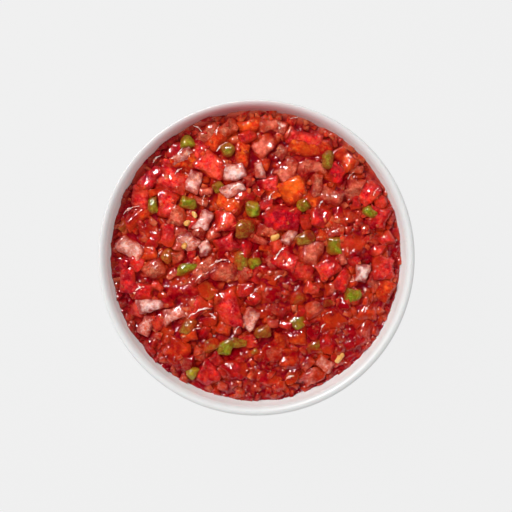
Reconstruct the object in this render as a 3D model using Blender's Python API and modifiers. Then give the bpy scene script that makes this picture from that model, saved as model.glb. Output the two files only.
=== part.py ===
"""Chunky tomato salsa in a small round white dip bowl.

Units are metres and +Z is up. The origin is the centre of the bowl's foot, on the surface that it stands on.
The bowl is one turned solid. The salsa is one solid that fills it: a core of pulp and juice, level with the
top of the fill, with the diced vegetables that show on top fused onto it.
"""

import math
import random

import bmesh
import bpy
from mathutils import Euler, Matrix, Vector, noise

MM = 0.001

# Bowl
RIM_RADIUS = 55 * MM
BOWL_HEIGHT = 50 * MM
LIP_THICKNESS = 2.4 * MM
INSIDE_DEPTH = 44 * MM
OUTSIDE_DEPTH = 48.5 * MM
WALL_DRAFT = 0.32
WALL_ROUNDNESS = 3.5
FOOT_RADIUS = 30 * MM
FOOT_FLAT_OUTER = 29.4 * MM
FOOT_FLAT_INNER = 26.8 * MM
FOOT_CHAMFER = 0.8 * MM
RECESS_RADIUS = 26 * MM
RECESS_HEIGHT = 1.4 * MM
BOWL_STEPS = 64
WALL_POINTS = 8
LIP_POINTS = 5

# Salsa
MOUTH_RADIUS = RIM_RADIUS - LIP_THICKNESS
FILL_DEPTH = 7.0 * MM
FILL_DOME = 0.8 * MM
FILL_SLOPE = 0.7 * MM
WALL_GAP = 0.3 * MM
HIGHEST_PIECE = BOWL_HEIGHT - 4.5 * MM
CORE_STEPS = 36
CORE_RINGS = 6
CORE_BUMP = 0.35 * MM
CORE_BUMP_WIDTH = 6 * MM
SLIVER = 0.02 * MM

# Diced pieces
PIECE_DEPTH = 4.6 * MM
EDGE_ROUNDING = 0.16
CORNER_JITTER = 0.13
LARGE_RISE = (1.0 * MM, 1.7 * MM)
LARGE_TILT = math.radians(9)
FILLER_RISE = (0.6 * MM, 1.3 * MM)
FILLER_TILT = math.radians(16)
PIECE_CLEARANCE = 0.35 * MM
FILLER_SEED = 5
FILLER_TRIES = 5000
FILLER_SPACING = 0.84
FILLER_SIZES = (4.4 * MM, 7.6 * MM)
FILLER_SLIMNESS = (0.62, 1.0)

# The pieces that stand out, by kind: x, y, length and width in millimetres, and the turn of the length in degrees
LARGE_PIECES = {
    "red_tomato": (
        (-11, 13, 8, 7, 0),
        (-16, 32, 10, 8, -30),
        (10, 14, 13, 8, -5),
        (22, 14, 9, 8, 80),
        (-29, 27, 9, 9, -20),
        (-31, 19, 8, 7, 80),
        (-10, 4, 9, 8, 20),
        (11, -1, 9, 8, -40),
        (16, -5, 9, 6, -10),
        (25, -4, 8, 7, 35),
        (-31, 8, 7, 6, 80),
        (-10, -17, 14, 9, 100),
        (-38, 28, 9, 6, 50),
        (-45, -8, 10, 6, 90),
        (3, 25, 9, 6, 0),
        (44, -3, 9, 7, 85),
        (28, 29, 8, 7, 60),
        (-17, -42, 8, 8, 30),
        (33, -31, 13, 8, 40),
        (3, -42, 14, 7, 0),
        (-39, -12, 7, 6, 0),
        (-25, -11, 12, 6, 0),
        (18, 44, 15, 6, -14),
        (-3, 42, 7, 5, 20),
        (-30, 39, 6, 5, 60),
        (-42, 22, 8, 6, 70),
        (39, 23, 8, 7, 50),
        (44, 14, 9, 7, 80),
        (34, 5, 10, 8, 60),
        (25, -30, 8, 7, 70),
        (-36, 6, 6, 5, 80),
        (30, -8, 7, 5, 60),
        (-7, -39, 10, 7, 20),
        (-21, -17, 9, 6, 35),
    ),
    "orange_tomato": (
        (13, 24, 11, 9, 30),
        (-10, 19, 11, 7, -15),
        (31, 34, 9, 6, -55),
        (17, 38, 14, 5, -5),
        (14, -28, 8, 6, 0),
        (26, -22, 11, 8, 10),
        (-30, -31, 14, 10, -45),
        (-14, 40, 9, 6, 60),
        (-41, 14, 11, 5, 40),
        (40, -18, 9, 7, 70),
        (-2, 47, 8, 5, 10),
        (-5, 36, 8, 6, 80),
        (-26, 32, 8, 4, -10),
        (-37, 10, 8, 6, 30),
        (45, -12, 7, 5, 70),
        (12, -35, 9, 7, 80),
        (-23, -27, 6, 5, 30),
    ),
    "pale_tomato": (
        (3, 39, 9, 8, 60),
        (19, 31, 13, 8, 5),
        (26, 21, 9, 6, -10),
        (34, 24, 9, 6, 70),
        (33, 14, 7, 5, 0),
        (-36, -4, 9, 7, 15),
        (5, -13, 11, 6, 15),
        (4, 46, 7, 5, 10),
        (-10, 47, 7, 5, 30),
        (-18, 45, 9, 6, 10),
        (-28, 14, 7, 6, 70),
        (10, 30, 9, 7, 60),
        (21, 25, 7, 4, 90),
        (28, 10, 7, 5, 80),
        (19, 2, 9, 7, 70),
        (-17, -4, 10, 6, 35),
        (-11, -5, 10, 6, 10),
        (7, -7, 7, 5, 60),
        (20, -18, 7, 5, 30),
        (6, -23, 5, 4, 0),
        (5, -34, 9, 5, 10),
        (20, -42, 8, 5, 30),
        (-24, -37, 6, 5, 70),
        (-15, 8, 6, 5, 30),
        (38, -26, 7, 5, 50),
    ),
    "onion": (
        (-7, 30, 9, 6, 15),
        (-8, 24, 8, 4, 20),
        (-18, 13, 7, 5, 65),
        (-22, 26, 8, 5, 75),
        (-44, 4, 9, 6, -40),
        (-37, -17, 9, 5, 10),
        (-29, -20, 8, 5, 20),
        (-23, 5, 7, 6, -45),
        (37, -6, 6, 5, 80),
        (-2, -21, 8, 6, 60),
        (25, -39, 6, 4, -30),
        (-39, -24, 8, 5, 70),
        (1, 30, 6, 3, 100),
        (-26, 35, 7, 4, 30),
        (-18, 3, 5, 5, 30),
    ),
    "green_pepper": (
        (-24, 40, 5, 5, 0),
        (-36, 18, 6, 4, 90),
        (-24, 19, 6, 5, 0),
        (-1, 17, 6, 6, 0),
        (39, 16, 6, 4, -35),
        (-24, -4, 8, 5, 10),
        (-1, -2, 5, 4, 20),
        (27, 4, 6, 5, 90),
        (34, -13, 7, 5, -5),
        (15, -23, 6, 6, 45),
        (-11, -31, 6, 5, 80),
        (-23, -41, 5, 5, 0),
        (-3, 10, 8, 7, 0),
        (20, -32, 6, 6, 20),
        (-10, 37, 6, 5, 20),
        (-46, 11, 4, 4, 60),
        (-31, 1, 6, 4, 70),
        (16, 18, 5, 4, 30),
        (17, 7, 6, 5, 20),
        (25, 34, 6, 4, 80),
        (-17, -11, 7, 6, 60),
        (-24, -24, 7, 5, 60),
        (-16, -31, 6, 5, 20),
        (-6, -30, 6, 4, 0),
        (2, -26, 6, 4, 20),
        (12, -42, 7, 5, 20),
        (14, -14, 6, 5, 40),
    ),
}

BOWL_WHITE = (0.86, 0.86, 0.84, 1)
SALSA_RED = (0.42, 0.028, 0.016, 1)


def clear_scene():
    for obj in list(bpy.data.objects):
        bpy.data.objects.remove(obj)


def new_collection(name, parent=None):
    collection = bpy.data.collections.new(name)
    (parent or bpy.context.scene.collection).children.link(collection)
    return collection


def new_material(name, color, roughness, coat):
    material = bpy.data.materials.new(name)
    material.use_nodes = True
    material.diffuse_color = color
    shader = material.node_tree.nodes["Principled BSDF"]
    shader.inputs["Base Color"].default_value = color
    shader.inputs["Roughness"].default_value = roughness
    shader.inputs["Coat Weight"].default_value = coat
    return material


def new_object(name, mesh, collection):
    obj = bpy.data.objects.new(name, mesh)
    collection.objects.link(obj)
    return obj


def wall_point(mouth_radius, full_depth, turn):
    """Radius and height on the bowl's wall curve, where turn goes from 0 at the rim to a right angle at the axis."""
    depth = full_depth * math.sin(turn) ** (2 / WALL_ROUNDNESS)
    radius = (mouth_radius - WALL_DRAFT * depth) * math.cos(turn) ** (2 / WALL_ROUNDNESS)
    return radius, BOWL_HEIGHT - depth


def turn_at_radius(mouth_radius, full_depth, radius):
    """The turn of the point where the wall curve passes a radius, found by halving."""
    low, high = 0.0, math.pi / 2
    for _ in range(40):
        middle = (low + high) / 2
        if wall_point(mouth_radius, full_depth, middle)[0] > radius:
            low = middle
        else:
            high = middle
    return low


def turn_at_height(mouth_radius, full_depth, height):
    """The turn of the point where the wall curve passes a height, found by halving."""
    low, high = 0.0, math.pi / 2
    for _ in range(40):
        middle = (low + high) / 2
        if wall_point(mouth_radius, full_depth, middle)[1] > height:
            low = middle
        else:
            high = middle
    return low


def spread(first, last, count):
    return [first + (last - first) * i / (count - 1) for i in range(count)]


def inner_wall():
    """Points down the bowl's inside, from where the lip ends to the middle of the floor."""
    top = turn_at_height(MOUTH_RADIUS, INSIDE_DEPTH, BOWL_HEIGHT - LIP_THICKNESS / 2)
    points = [wall_point(MOUTH_RADIUS, INSIDE_DEPTH, t) for t in spread(top, math.pi / 2, WALL_POINTS + 2)]
    return points[:-1] + [(0, points[-1][1])]


def bowl_profile():
    """Outline from the middle of the inner floor up to the lip, down the outside, round the foot and back to the axis."""
    lip_radius = LIP_THICKNESS / 2
    lip_centre = Vector((RIM_RADIUS - lip_radius, BOWL_HEIGHT - lip_radius))
    lip_turns = spread(math.pi, 0, LIP_POINTS + 2)[1:-1]
    lip = [(lip_centre.x + lip_radius * math.cos(t), lip_centre.y + lip_radius * math.sin(t)) for t in lip_turns]
    outer_top = turn_at_height(RIM_RADIUS, OUTSIDE_DEPTH, lip_centre.y)
    outer_foot = turn_at_radius(RIM_RADIUS, OUTSIDE_DEPTH, FOOT_RADIUS)
    outer = [wall_point(RIM_RADIUS, OUTSIDE_DEPTH, t) for t in spread(outer_top, outer_foot, WALL_POINTS)]
    foot = [
        (FOOT_RADIUS, FOOT_CHAMFER),
        (FOOT_FLAT_OUTER, 0),
        (FOOT_FLAT_INNER, 0),
        (RECESS_RADIUS, RECESS_HEIGHT),
        (0, RECESS_HEIGHT),
    ]
    return inner_wall()[::-1] + lip + outer + foot


def turned(name, profile, steps, collection):
    """A solid of revolution from an outline that starts and ends on the axis."""
    mesh = bpy.data.meshes.new(name)
    points = [(radius, 0, height) for radius, height in profile]
    mesh.from_pydata(points, [(i, i + 1) for i in range(len(points) - 1)], [])
    obj = new_object(name, mesh, collection)
    screw = obj.modifiers.new("Turn", "SCREW")
    screw.axis = "Z"
    screw.angle = math.tau
    screw.steps = screw.render_steps = steps
    screw.use_merge_vertices = True
    screw.merge_threshold = 0.00001
    screw.use_smooth_shade = True
    return obj


def make_bowl(collection):
    bowl = turned("bowl", bowl_profile(), BOWL_STEPS, collection)
    bowl.data.materials.append(new_material("White glaze", BOWL_WHITE, 0.12, 0.6))
    return bowl


def inside_radius(height):
    """Radius of the space that the salsa may fill at a height: the bowl's inside less the gap."""
    wall = inner_wall()
    for (upper_radius, upper_height), (lower_radius, lower_height) in zip(wall, wall[1:]):
        if height >= lower_height:
            share = (height - lower_height) / (upper_height - lower_height)
            return lower_radius + (upper_radius - lower_radius) * share - WALL_GAP
    return 0.0


def fill_level(x, y):
    """Height of the top of the pulp and juice: a slight dome that leans a little towards -Y."""
    share = math.hypot(x, y) / MOUTH_RADIUS
    return BOWL_HEIGHT - FILL_DEPTH + FILL_DOME * (1 - share * share) + FILL_SLOPE * y / MOUTH_RADIUS


def core_level(x, y):
    """The fill level with the low swells of the pulp."""
    swell = noise.noise(Vector((x, y, 0)) / CORE_BUMP_WIDTH)
    return fill_level(x, y) + CORE_BUMP * swell


def core_mesh():
    """Pulp and juice: rings of points from the middle of the top, out to the wall and down to the bowl's floor."""
    around = [math.tau * k / CORE_STEPS for k in range(CORE_STEPS)]
    wall_height = BOWL_HEIGHT - FILL_DEPTH
    rim = inside_radius(wall_height - FILL_SLOPE)
    shell = bmesh.new()
    rings = []
    for i in range(1, CORE_RINGS + 1):
        radius = rim * i / CORE_RINGS
        flat = [(radius * math.cos(a), radius * math.sin(a)) for a in around]
        rings.append([shell.verts.new((x, y, core_level(x, y))) for x, y in flat])
    for radius, height in inner_wall()[1:-1]:
        if height < wall_height - 2 * FILL_SLOPE:
            radius, height = radius - WALL_GAP, height + WALL_GAP
            rings.append([shell.verts.new((radius * math.cos(a), radius * math.sin(a), height)) for a in around])
    top = shell.verts.new((0, 0, core_level(0, 0)))
    bottom = shell.verts.new((0, 0, BOWL_HEIGHT - INSIDE_DEPTH + WALL_GAP))
    for k in range(CORE_STEPS):
        after = (k + 1) % CORE_STEPS
        shell.faces.new((top, rings[0][k], rings[0][after]))
        shell.faces.new((bottom, rings[-1][after], rings[-1][k]))
        for upper, lower in zip(rings, rings[1:]):
            shell.faces.new((upper[k], lower[k], lower[after], upper[after]))
    mesh = bpy.data.meshes.new("salsa_core")
    shell.to_mesh(mesh)
    shell.free()
    return mesh


def crowded(x, y, length, width, pieces):
    """True if a piece this large would mostly lie over one that is there already."""
    for other_x, other_y, other_length, other_width, _ in pieces:
        reach = (length + width + other_length + other_width) / 4
        if math.hypot(x - other_x, y - other_y) < FILLER_SPACING * reach:
            return True
    return False


def lay_out_pieces():
    """The large pieces, and then fillers where there is room, each as x, y, length, width and turn."""
    large, fillers = [], []
    for rows in LARGE_PIECES.values():
        for x, y, length, width, turn in rows:
            large.append((x * MM, y * MM, length * MM, width * MM, math.radians(turn)))
    draw = random.Random(FILLER_SEED)
    reach = inside_radius(BOWL_HEIGHT - FILL_DEPTH)
    for _ in range(FILLER_TRIES):
        length = draw.uniform(*FILLER_SIZES)
        width = length * draw.uniform(*FILLER_SLIMNESS)
        radius = (reach - length / 2) * math.sqrt(draw.random())
        around = draw.uniform(0, math.tau)
        x, y = radius * math.cos(around), radius * math.sin(around)
        turn = draw.uniform(0, math.pi)
        if not crowded(x, y, length, width, large + fillers):
            fillers.append((x, y, length, width, turn))
    return large, fillers


def diced_piece(name, place, steepest, rises, rounded, draw, collection):
    """One knife-cut piece: a box with uneven corners, rounded or sharp, tilted, and set in the core to its rise."""
    x, y, length, width, turn = place
    cube = bmesh.new()
    bmesh.ops.create_cube(cube, size=1)
    for corner in cube.verts:
        corner.co += Vector([draw.uniform(-CORNER_JITTER, CORNER_JITTER) for _ in range(3)])
    cube.transform(Matrix.Diagonal((length, width, PIECE_DEPTH, 1)))
    if rounded:
        bmesh.ops.bevel(cube, geom=cube.edges[:], offset=EDGE_ROUNDING * width, segments=1, affect="EDGES")
    tilt = [draw.uniform(-steepest, steepest) for _ in range(2)]
    cube.transform(Euler((tilt[0], tilt[1], turn)).to_matrix().to_4x4())
    rise = draw.uniform(*rises)
    top = min(fill_level(x, y) + rise, HIGHEST_PIECE)
    height = top - max(v.co.z for v in cube.verts)
    for corner in cube.verts:
        corner.co += Vector((x, y, height))
    pull_inside(cube.verts)
    mesh = bpy.data.meshes.new(name)
    cube.to_mesh(mesh)
    cube.free()
    return new_object(name, mesh, collection)


def pull_inside(corners):
    """Moves a piece towards the axis until none of it comes closer to the bowl's wall than the gap."""
    for _ in range(3):
        over, push = 0.0, Vector((0, 0, 0))
        for corner in corners:
            radius = math.hypot(corner.co.x, corner.co.y)
            excess = radius - (inside_radius(corner.co.z) - PIECE_CLEARANCE)
            if excess > over:
                over = excess
                push = Vector((corner.co.x, corner.co.y, 0)) * (-excess / radius)
        for corner in corners:
            corner.co += push


def apply_modifiers(obj):
    """Leaves the object with the mesh that its modifiers make."""
    graph = bpy.context.evaluated_depsgraph_get()
    mesh = bpy.data.meshes.new_from_object(obj.evaluated_get(graph))
    obj.modifiers.clear()
    obj.data = mesh


def keep_outer_shell(mesh):
    """Welds slivers and keeps the largest run of faces that meet two at an edge: sealed hollows and scraps are gone."""
    shell = bmesh.new()
    shell.from_mesh(mesh)
    bmesh.ops.remove_doubles(shell, verts=shell.verts[:], dist=SLIVER)
    bmesh.ops.dissolve_degenerate(shell, edges=shell.edges[:], dist=SLIVER)
    left, islands = set(shell.faces), []
    while left:
        island, front = set(), [left.pop()]
        while front:
            face = front.pop()
            island.add(face)
            for edge in face.edges:
                if len(edge.link_faces) == 2:
                    near = left.intersection(edge.link_faces)
                    left -= near
                    front.extend(near)
        islands.append(island)
    largest = max(islands, key=len)
    bmesh.ops.delete(shell, geom=[f for f in shell.faces if f not in largest], context="FACES")
    shell.to_mesh(mesh)
    shell.free()


def make_salsa(collection):
    """The core with every diced piece fused onto it."""
    salsa = new_object("salsa", core_mesh(), collection)
    salsa.data.materials.append(new_material("Wet tomato", SALSA_RED, 0.22, 0.8))
    pieces = new_collection("salsa_pieces", collection)
    draw = random.Random(FILLER_SEED + 1)
    large, fillers = lay_out_pieces()
    for i, place in enumerate(large):
        diced_piece(f"large_{i}", place, LARGE_TILT, LARGE_RISE, True, draw, pieces)
    for i, place in enumerate(fillers):
        diced_piece(f"filler_{i}", place, FILLER_TILT, FILLER_RISE, False, draw, pieces)
    union = salsa.modifiers.new("Fuse", "BOOLEAN")
    union.operation = "UNION"
    union.operand_type = "COLLECTION"
    union.solver = "MANIFOLD"
    union.collection = pieces
    apply_modifiers(salsa)
    for obj in list(pieces.objects):
        bpy.data.objects.remove(obj)
    bpy.data.collections.remove(pieces)
    keep_outer_shell(salsa.data)
    salsa.data.set_sharp_from_angle(angle=math.radians(35))
    return salsa


def main():
    clear_scene()
    collection = new_collection("Salsa in a bowl")
    make_bowl(collection)
    make_salsa(collection)


main()
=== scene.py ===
"""Looks of a small white dip bowl full of wet chunky salsa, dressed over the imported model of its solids.

Lengths are in metres and +Z is up. The origin is the centre of the bowl's foot. Diced pieces lie where the
solids have them, by the same table, the same seeded rule and the same draws.
"""

import math
import random
from dataclasses import dataclass
from functools import lru_cache

import bmesh
import bpy
import numpy as np
from bpy.props import FloatProperty, FloatVectorProperty, IntProperty, PointerProperty
from mathutils import Euler, Matrix, Vector, noise
from mathutils.bvhtree import BVHTree


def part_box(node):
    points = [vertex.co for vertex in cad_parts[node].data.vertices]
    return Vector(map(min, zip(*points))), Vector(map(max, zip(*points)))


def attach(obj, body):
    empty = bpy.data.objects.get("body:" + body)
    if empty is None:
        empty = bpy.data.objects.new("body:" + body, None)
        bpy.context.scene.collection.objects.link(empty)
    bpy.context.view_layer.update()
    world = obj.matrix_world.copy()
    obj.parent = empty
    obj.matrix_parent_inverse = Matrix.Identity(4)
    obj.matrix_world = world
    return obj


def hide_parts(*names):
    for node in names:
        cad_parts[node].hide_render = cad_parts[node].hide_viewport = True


bl_info = {
    "name": "Bowl of salsa",
    "version": (1, 0, 0),
    "blender": (4, 5, 0),
    "location": "View3D > Sidebar > Salsa",
    "description": "Makes a white dip bowl full of wet chunky tomato salsa",
    "category": "Add Mesh",
}

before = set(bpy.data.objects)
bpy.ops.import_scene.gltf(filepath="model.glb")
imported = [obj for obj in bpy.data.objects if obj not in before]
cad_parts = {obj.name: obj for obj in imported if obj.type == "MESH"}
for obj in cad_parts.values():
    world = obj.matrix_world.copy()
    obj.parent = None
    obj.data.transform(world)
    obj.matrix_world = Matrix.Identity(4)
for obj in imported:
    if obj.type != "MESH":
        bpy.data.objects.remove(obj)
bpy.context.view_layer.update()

MM = 0.001
ROOT = "root"

# Bowl, as its solid has it
BOWL_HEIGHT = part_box("bowl")[1].z
RIM_RADIUS = 55 * MM
LIP_THICKNESS = 2.4 * MM
INSIDE_DEPTH = 44 * MM
OUTSIDE_DEPTH = 48.5 * MM
WALL_DRAFT = 0.32
WALL_ROUNDNESS = 3.5
FOOT_RADIUS = 30 * MM
FOOT_FLAT_OUTER = 29.4 * MM
FOOT_FLAT_INNER = 26.8 * MM
FOOT_CHAMFER = 0.8 * MM
RECESS_RADIUS = 26 * MM
RECESS_HEIGHT = 1.4 * MM

# Lip as the photo shows it: it swells out of the inner wall to a crest that wanders off the rim's middle
LIP_DEPTH = 3.8 * MM
LIP_TURN = 1.2 * MM
LIP_CREST = 53.7 * MM
LIP_EDGE = RIM_RADIUS - 0.4 * MM
LIP_DRIFT = 0.5 * MM
LIP_BEARING = math.radians(130)
# Painted shade over the lip's top: how far down from the rim it starts
PAINTED_LIP_SHADE_DEPTH = 2.2 * MM
# Painted reddish shade on the glaze above the fill: the bearing where it is strongest, and how narrowly it
# gathers there
PAINTED_GLAZE_SHADE_BEARING = math.radians(100)
PAINTED_GLAZE_SHADE_NARROWNESS = 7

# How finely the bowl's outline and its turn are cut
INNER_POINTS = 44
OUTER_POINTS = 36
LIP_RISE_POINTS = 17
LIP_TURN_POINTS = 9
BOWL_STEPS = 192

# Fill, as its solid has it
MOUTH_RADIUS = RIM_RADIUS - LIP_THICKNESS
FILL_DEPTH = 7.0 * MM
FILL_DOME = 0.8 * MM
FILL_SLOPE = 0.7 * MM
WALL_GAP = 0.3 * MM
HIGHEST_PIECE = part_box("salsa")[1].z
CORE_BUMP = 0.35 * MM
CORE_BUMP_WIDTH = 6 * MM

# Edge of the fill, as bearings from the bowl's axis: where the painted shadow along the wall is widest, and
# where the juice is thinnest and highest
SHADE_BEARING = math.radians(165)
FILM_BEARING = math.radians(85)
CLIMB_BEARING = math.radians(130)
FILM_REACH = 0.7 * MM
PULP_OVERLAP = 0.12 * MM
SOAK_FLATTENING = 0.85

# Juice that lies over the dice: its patches, and how it grows from a line across the fill towards -Y, so the
# fill is darker towards -Y
POOL_WIDTH = 11 * MM
POOL_DRIFT = 0.7
POOL_SOAK = 0.7
POOL_SLOPE = 0.75
POOL_START = 0.16
POOL_RANGE = (-0.5, 1)

# Diced pieces, as their solids have them
PIECE_DEPTH = 4.6 * MM
CORNER_JITTER = 0.13
LARGE_RISE = (1.0 * MM, 1.7 * MM)
LARGE_TILT = math.radians(9)
FILLER_RISE = (0.6 * MM, 1.3 * MM)
FILLER_TILT = math.radians(16)
PIECE_CLEARANCE = 0.35 * MM
FILLER_SEED = 5
FILLER_TRIES = 5000
FILLER_SPACING = 0.84
FILLER_SIZES = (4.4 * MM, 7.6 * MM)
FILLER_SLIMNESS = (0.62, 1.0)

# The pieces that stand out, by kind: x, y, length and width in millimetres, the turn of the length in
# degrees, and the shade from 0 to 1 along the kind's colours
LARGE_PIECES = {
    "red_tomato": (
        (-11, 13, 8, 7, 0, 0.95),
        (-16, 32, 10, 8, -30, 0.8),
        (10, 14, 13, 8, -5, 0.1),
        (22, 14, 9, 8, 80, 0.2),
        (-29, 27, 9, 9, -20, 0.75),
        (-31, 19, 8, 7, 80, 0.7),
        (-10, 4, 9, 8, 20, 0.6),
        (11, -1, 9, 8, -40, 0.7),
        (16, -5, 9, 6, -10, 0.7),
        (25, -4, 8, 7, 35, 0.65),
        (-31, 8, 7, 6, 80, 0.6),
        (-10, -17, 14, 9, 100, 0.5),
        (-38, 28, 9, 6, 50, 0.35),
        (-45, -8, 10, 6, 90, 0.35),
        (3, 25, 9, 6, 0, 0.5),
        (44, -3, 9, 7, 85, 0.45),
        (28, 29, 8, 7, 60, 0.1),
        (-17, -42, 8, 8, 30, 0.4),
        (33, -31, 13, 8, 40, 0.25),
        (3, -42, 14, 7, 0, 0.2),
        (-39, -12, 7, 6, 0, 0.4),
        (-25, -11, 12, 6, 0, 0.45),
        (18, 44, 15, 6, -14, 0.8),
        (-3, 42, 7, 5, 20, 0.2),
        (-30, 39, 6, 5, 60, 0.15),
        (-42, 22, 8, 6, 70, 0.85),
        (39, 23, 8, 7, 50, 0.75),
        (44, 14, 9, 7, 80, 0.6),
        (34, 5, 10, 8, 60, 0.5),
        (25, -30, 8, 7, 70, 0.25),
        (-36, 6, 6, 5, 80, 0.1),
        (30, -8, 7, 5, 60, 0.2),
        (-7, -39, 10, 7, 20, 0.15),
        (-21, -17, 9, 6, 35, 0.6),
    ),
    "orange_tomato": (
        (13, 24, 11, 9, 30, 1.0),
        (-10, 19, 11, 7, -15, 0.9),
        (31, 34, 9, 6, -55, 0.7),
        (17, 38, 14, 5, -5, 0.85),
        (14, -28, 8, 6, 0, 0.6),
        (26, -22, 11, 8, 10, 0.35),
        (-30, -31, 14, 10, -45, 0.2),
        (-14, 40, 9, 6, 60, 0.4),
        (-41, 14, 11, 5, 40, 0.4),
        (40, -18, 9, 7, 70, 0.2),
        (-2, 47, 8, 5, 10, 0.6),
        (-5, 36, 8, 6, 80, 0.5),
        (-26, 32, 8, 4, -10, 0.5),
        (-37, 10, 8, 6, 30, 0.4),
        (45, -12, 7, 5, 70, 0.6),
        (12, -35, 9, 7, 80, 0.3),
        (-23, -27, 6, 5, 30, 0.5),
    ),
    "pale_tomato": (
        (3, 39, 9, 8, 60, 0.0),
        (19, 31, 13, 8, 5, 0.35),
        (26, 21, 9, 6, -10, 0.6),
        (34, 24, 9, 6, 70, 0.55),
        (33, 14, 7, 5, 0, 0.7),
        (-36, -4, 9, 7, 15, 0.75),
        (5, -13, 11, 6, 15, 0.5),
        (4, 46, 7, 5, 10, 0.25),
        (-10, 47, 7, 5, 30, 0.6),
        (-18, 45, 9, 6, 10, 0.4),
        (-28, 14, 7, 6, 70, 0.5),
        (10, 30, 9, 7, 60, 0.3),
        (21, 25, 7, 4, 90, 0.9),
        (28, 10, 7, 5, 80, 0.6),
        (19, 2, 9, 7, 70, 0.3),
        (-17, -4, 10, 6, 35, 0.6),
        (-11, -5, 10, 6, 10, 0.65),
        (7, -7, 7, 5, 60, 0.9),
        (20, -18, 7, 5, 30, 0.6),
        (6, -23, 5, 4, 0, 0.4),
        (5, -34, 9, 5, 10, 0.6),
        (20, -42, 8, 5, 30, 0.2),
        (-24, -37, 6, 5, 70, 1.0),
        (-15, 8, 6, 5, 30, 0.3),
        (38, -26, 7, 5, 50, 0.3),
    ),
    "onion": (
        (-7, 30, 9, 6, 15, 0.1),
        (-8, 24, 8, 4, 20, 0.3),
        (-18, 13, 7, 5, 65, 0.0),
        (-22, 26, 8, 5, 75, 0.4),
        (-44, 4, 9, 6, -40, 0.5),
        (-37, -17, 9, 5, 10, 0.1),
        (-29, -20, 8, 5, 20, 0.6),
        (-23, 5, 7, 6, -45, 0.7),
        (37, -6, 6, 5, 80, 0.2),
        (-2, -21, 8, 6, 60, 0.6),
        (25, -39, 6, 4, -30, 0.5),
        (-39, -24, 8, 5, 70, 0.9),
        (1, 30, 6, 3, 100, 0.4),
        (-26, 35, 7, 4, 30, 0.6),
        (-18, 3, 5, 5, 30, 0.2),
    ),
    "green_pepper": (
        (-24, 40, 5, 5, 0, 0.15),
        (-36, 18, 6, 4, 90, 0.45),
        (-24, 19, 6, 5, 0, 0.4),
        (-1, 17, 6, 6, 0, 0.15),
        (39, 16, 6, 4, -35, 0.3),
        (-24, -4, 8, 5, 10, 0.3),
        (-1, -2, 5, 4, 20, 0.35),
        (27, 4, 6, 5, 90, 0.3),
        (34, -13, 7, 5, -5, 0.3),
        (15, -23, 6, 6, 45, 0.35),
        (-11, -31, 6, 5, 80, 0.3),
        (-23, -41, 5, 5, 0, 0.0),
        (-3, 10, 8, 7, 0, 0.95),
        (20, -32, 6, 6, 20, 0.8),
        (-10, 37, 6, 5, 20, 0.7),
        (-46, 11, 4, 4, 60, 0.7),
        (-31, 1, 6, 4, 70, 0.8),
        (16, 18, 5, 4, 30, 0.35),
        (17, 7, 6, 5, 20, 0.8),
        (25, 34, 6, 4, 80, 0.7),
        (-17, -11, 7, 6, 60, 0.85),
        (-24, -24, 7, 5, 60, 0.7),
        (-16, -31, 6, 5, 20, 0.75),
        (-6, -30, 6, 4, 0, 0.6),
        (2, -26, 6, 4, 20, 0.8),
        (12, -42, 7, 5, 20, 0.85),
        (14, -14, 6, 5, 40, 0.9),
    ),
}

# How round each kind's edges are, as a share of a piece's width
ROUNDNESS = {
    "red_tomato": 0.22,
    "orange_tomato": 0.22,
    "pale_tomato": 0.26,
    "onion": 0.16,
    "green_pepper": 0.38,
    "seed": 0.5,
}

# How lumpy each kind's cut faces are
RELIEF = {
    "red_tomato": 0.5 * MM,
    "orange_tomato": 0.4 * MM,
    "pale_tomato": 0.6 * MM,
    "onion": 0.2 * MM,
    "green_pepper": 0.26 * MM,
    "seed": 0.14 * MM,
}

# How often a filler is of each kind
FILLER_KINDS = {"red_tomato": 44, "orange_tomato": 22, "pale_tomato": 22, "onion": 5, "green_pepper": 4}
FINISH_SEED = 21

# The share of a piece's points that lie below its top, how far soaking lowers it in lifts, and where its top
# face starts, from -1/2 to 1/2 of its depth
TOP_SHARE = 0.93
SOAK_DROP = 2.2
TOP_BAND = 0.45

# How far apart the pieces' lumps and mottling are drawn, so that no two pieces look alike
SEAT_SPREAD = 37
SEAT_STEP = 0.137


def linear(red, green, blue):
    """The scene's linear colour for a screen colour given from 0 to 255."""
    shares = [channel / 255 for channel in (red, green, blue)]
    return tuple(s / 12.92 if s <= 0.04045 else ((s + 0.055) / 1.055) ** 2.4 for s in shares)


def paint(screen_color):
    """A node's colour for a screen colour given from 0 to 255."""
    return (*linear(*screen_color), 1)


# Screen colours along each kind's shades
SHADES = {
    "red_tomato": ((156, 0, 26), (218, 2, 30), (252, 28, 12), (255, 86, 48)),
    "orange_tomato": ((216, 30, 10), (252, 50, 12), (255, 100, 14)),
    "pale_tomato": ((250, 120, 98), (228, 96, 66), (186, 84, 58), (142, 70, 48)),
    "onion": ((250, 204, 194), (242, 156, 122), (226, 106, 70)),
    "green_pepper": ((178, 158, 26), (98, 118, 12), (140, 86, 28), (158, 62, 34)),
}
JUICE = (146, 0, 12)
# Colour of the painted shadow along the wall and of the painted shade in the hollows, and of juice where it
# pools
SHADE_AND_DEEP_JUICE = (122, 0, 26)
BROTH = (182, 45, 15)
PULP_SHADES = ((138, 0, 16), (188, 12, 14), (208, 62, 22), (170, 68, 30))
BIT_SHADES = ((174, 0, 24), (216, 12, 18), (244, 50, 12), (222, 90, 42), (236, 122, 78))
SEED_SHADES = ((222, 146, 66), (246, 198, 118))
# Painted shade on the glaze above the fill, reddened by light off the salsa
PAINTED_GLAZE_SHADE_COLOR = (198, 124, 126)
FILM_SHADE = (206, 92, 72)
# Painted shade over the lip's top
PAINTED_LIP_SHADE_COLOR = (217, 217, 216)

SEED_RISE = 1.6 * MM
SEED_DEPTH = 2.0 * MM

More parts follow.
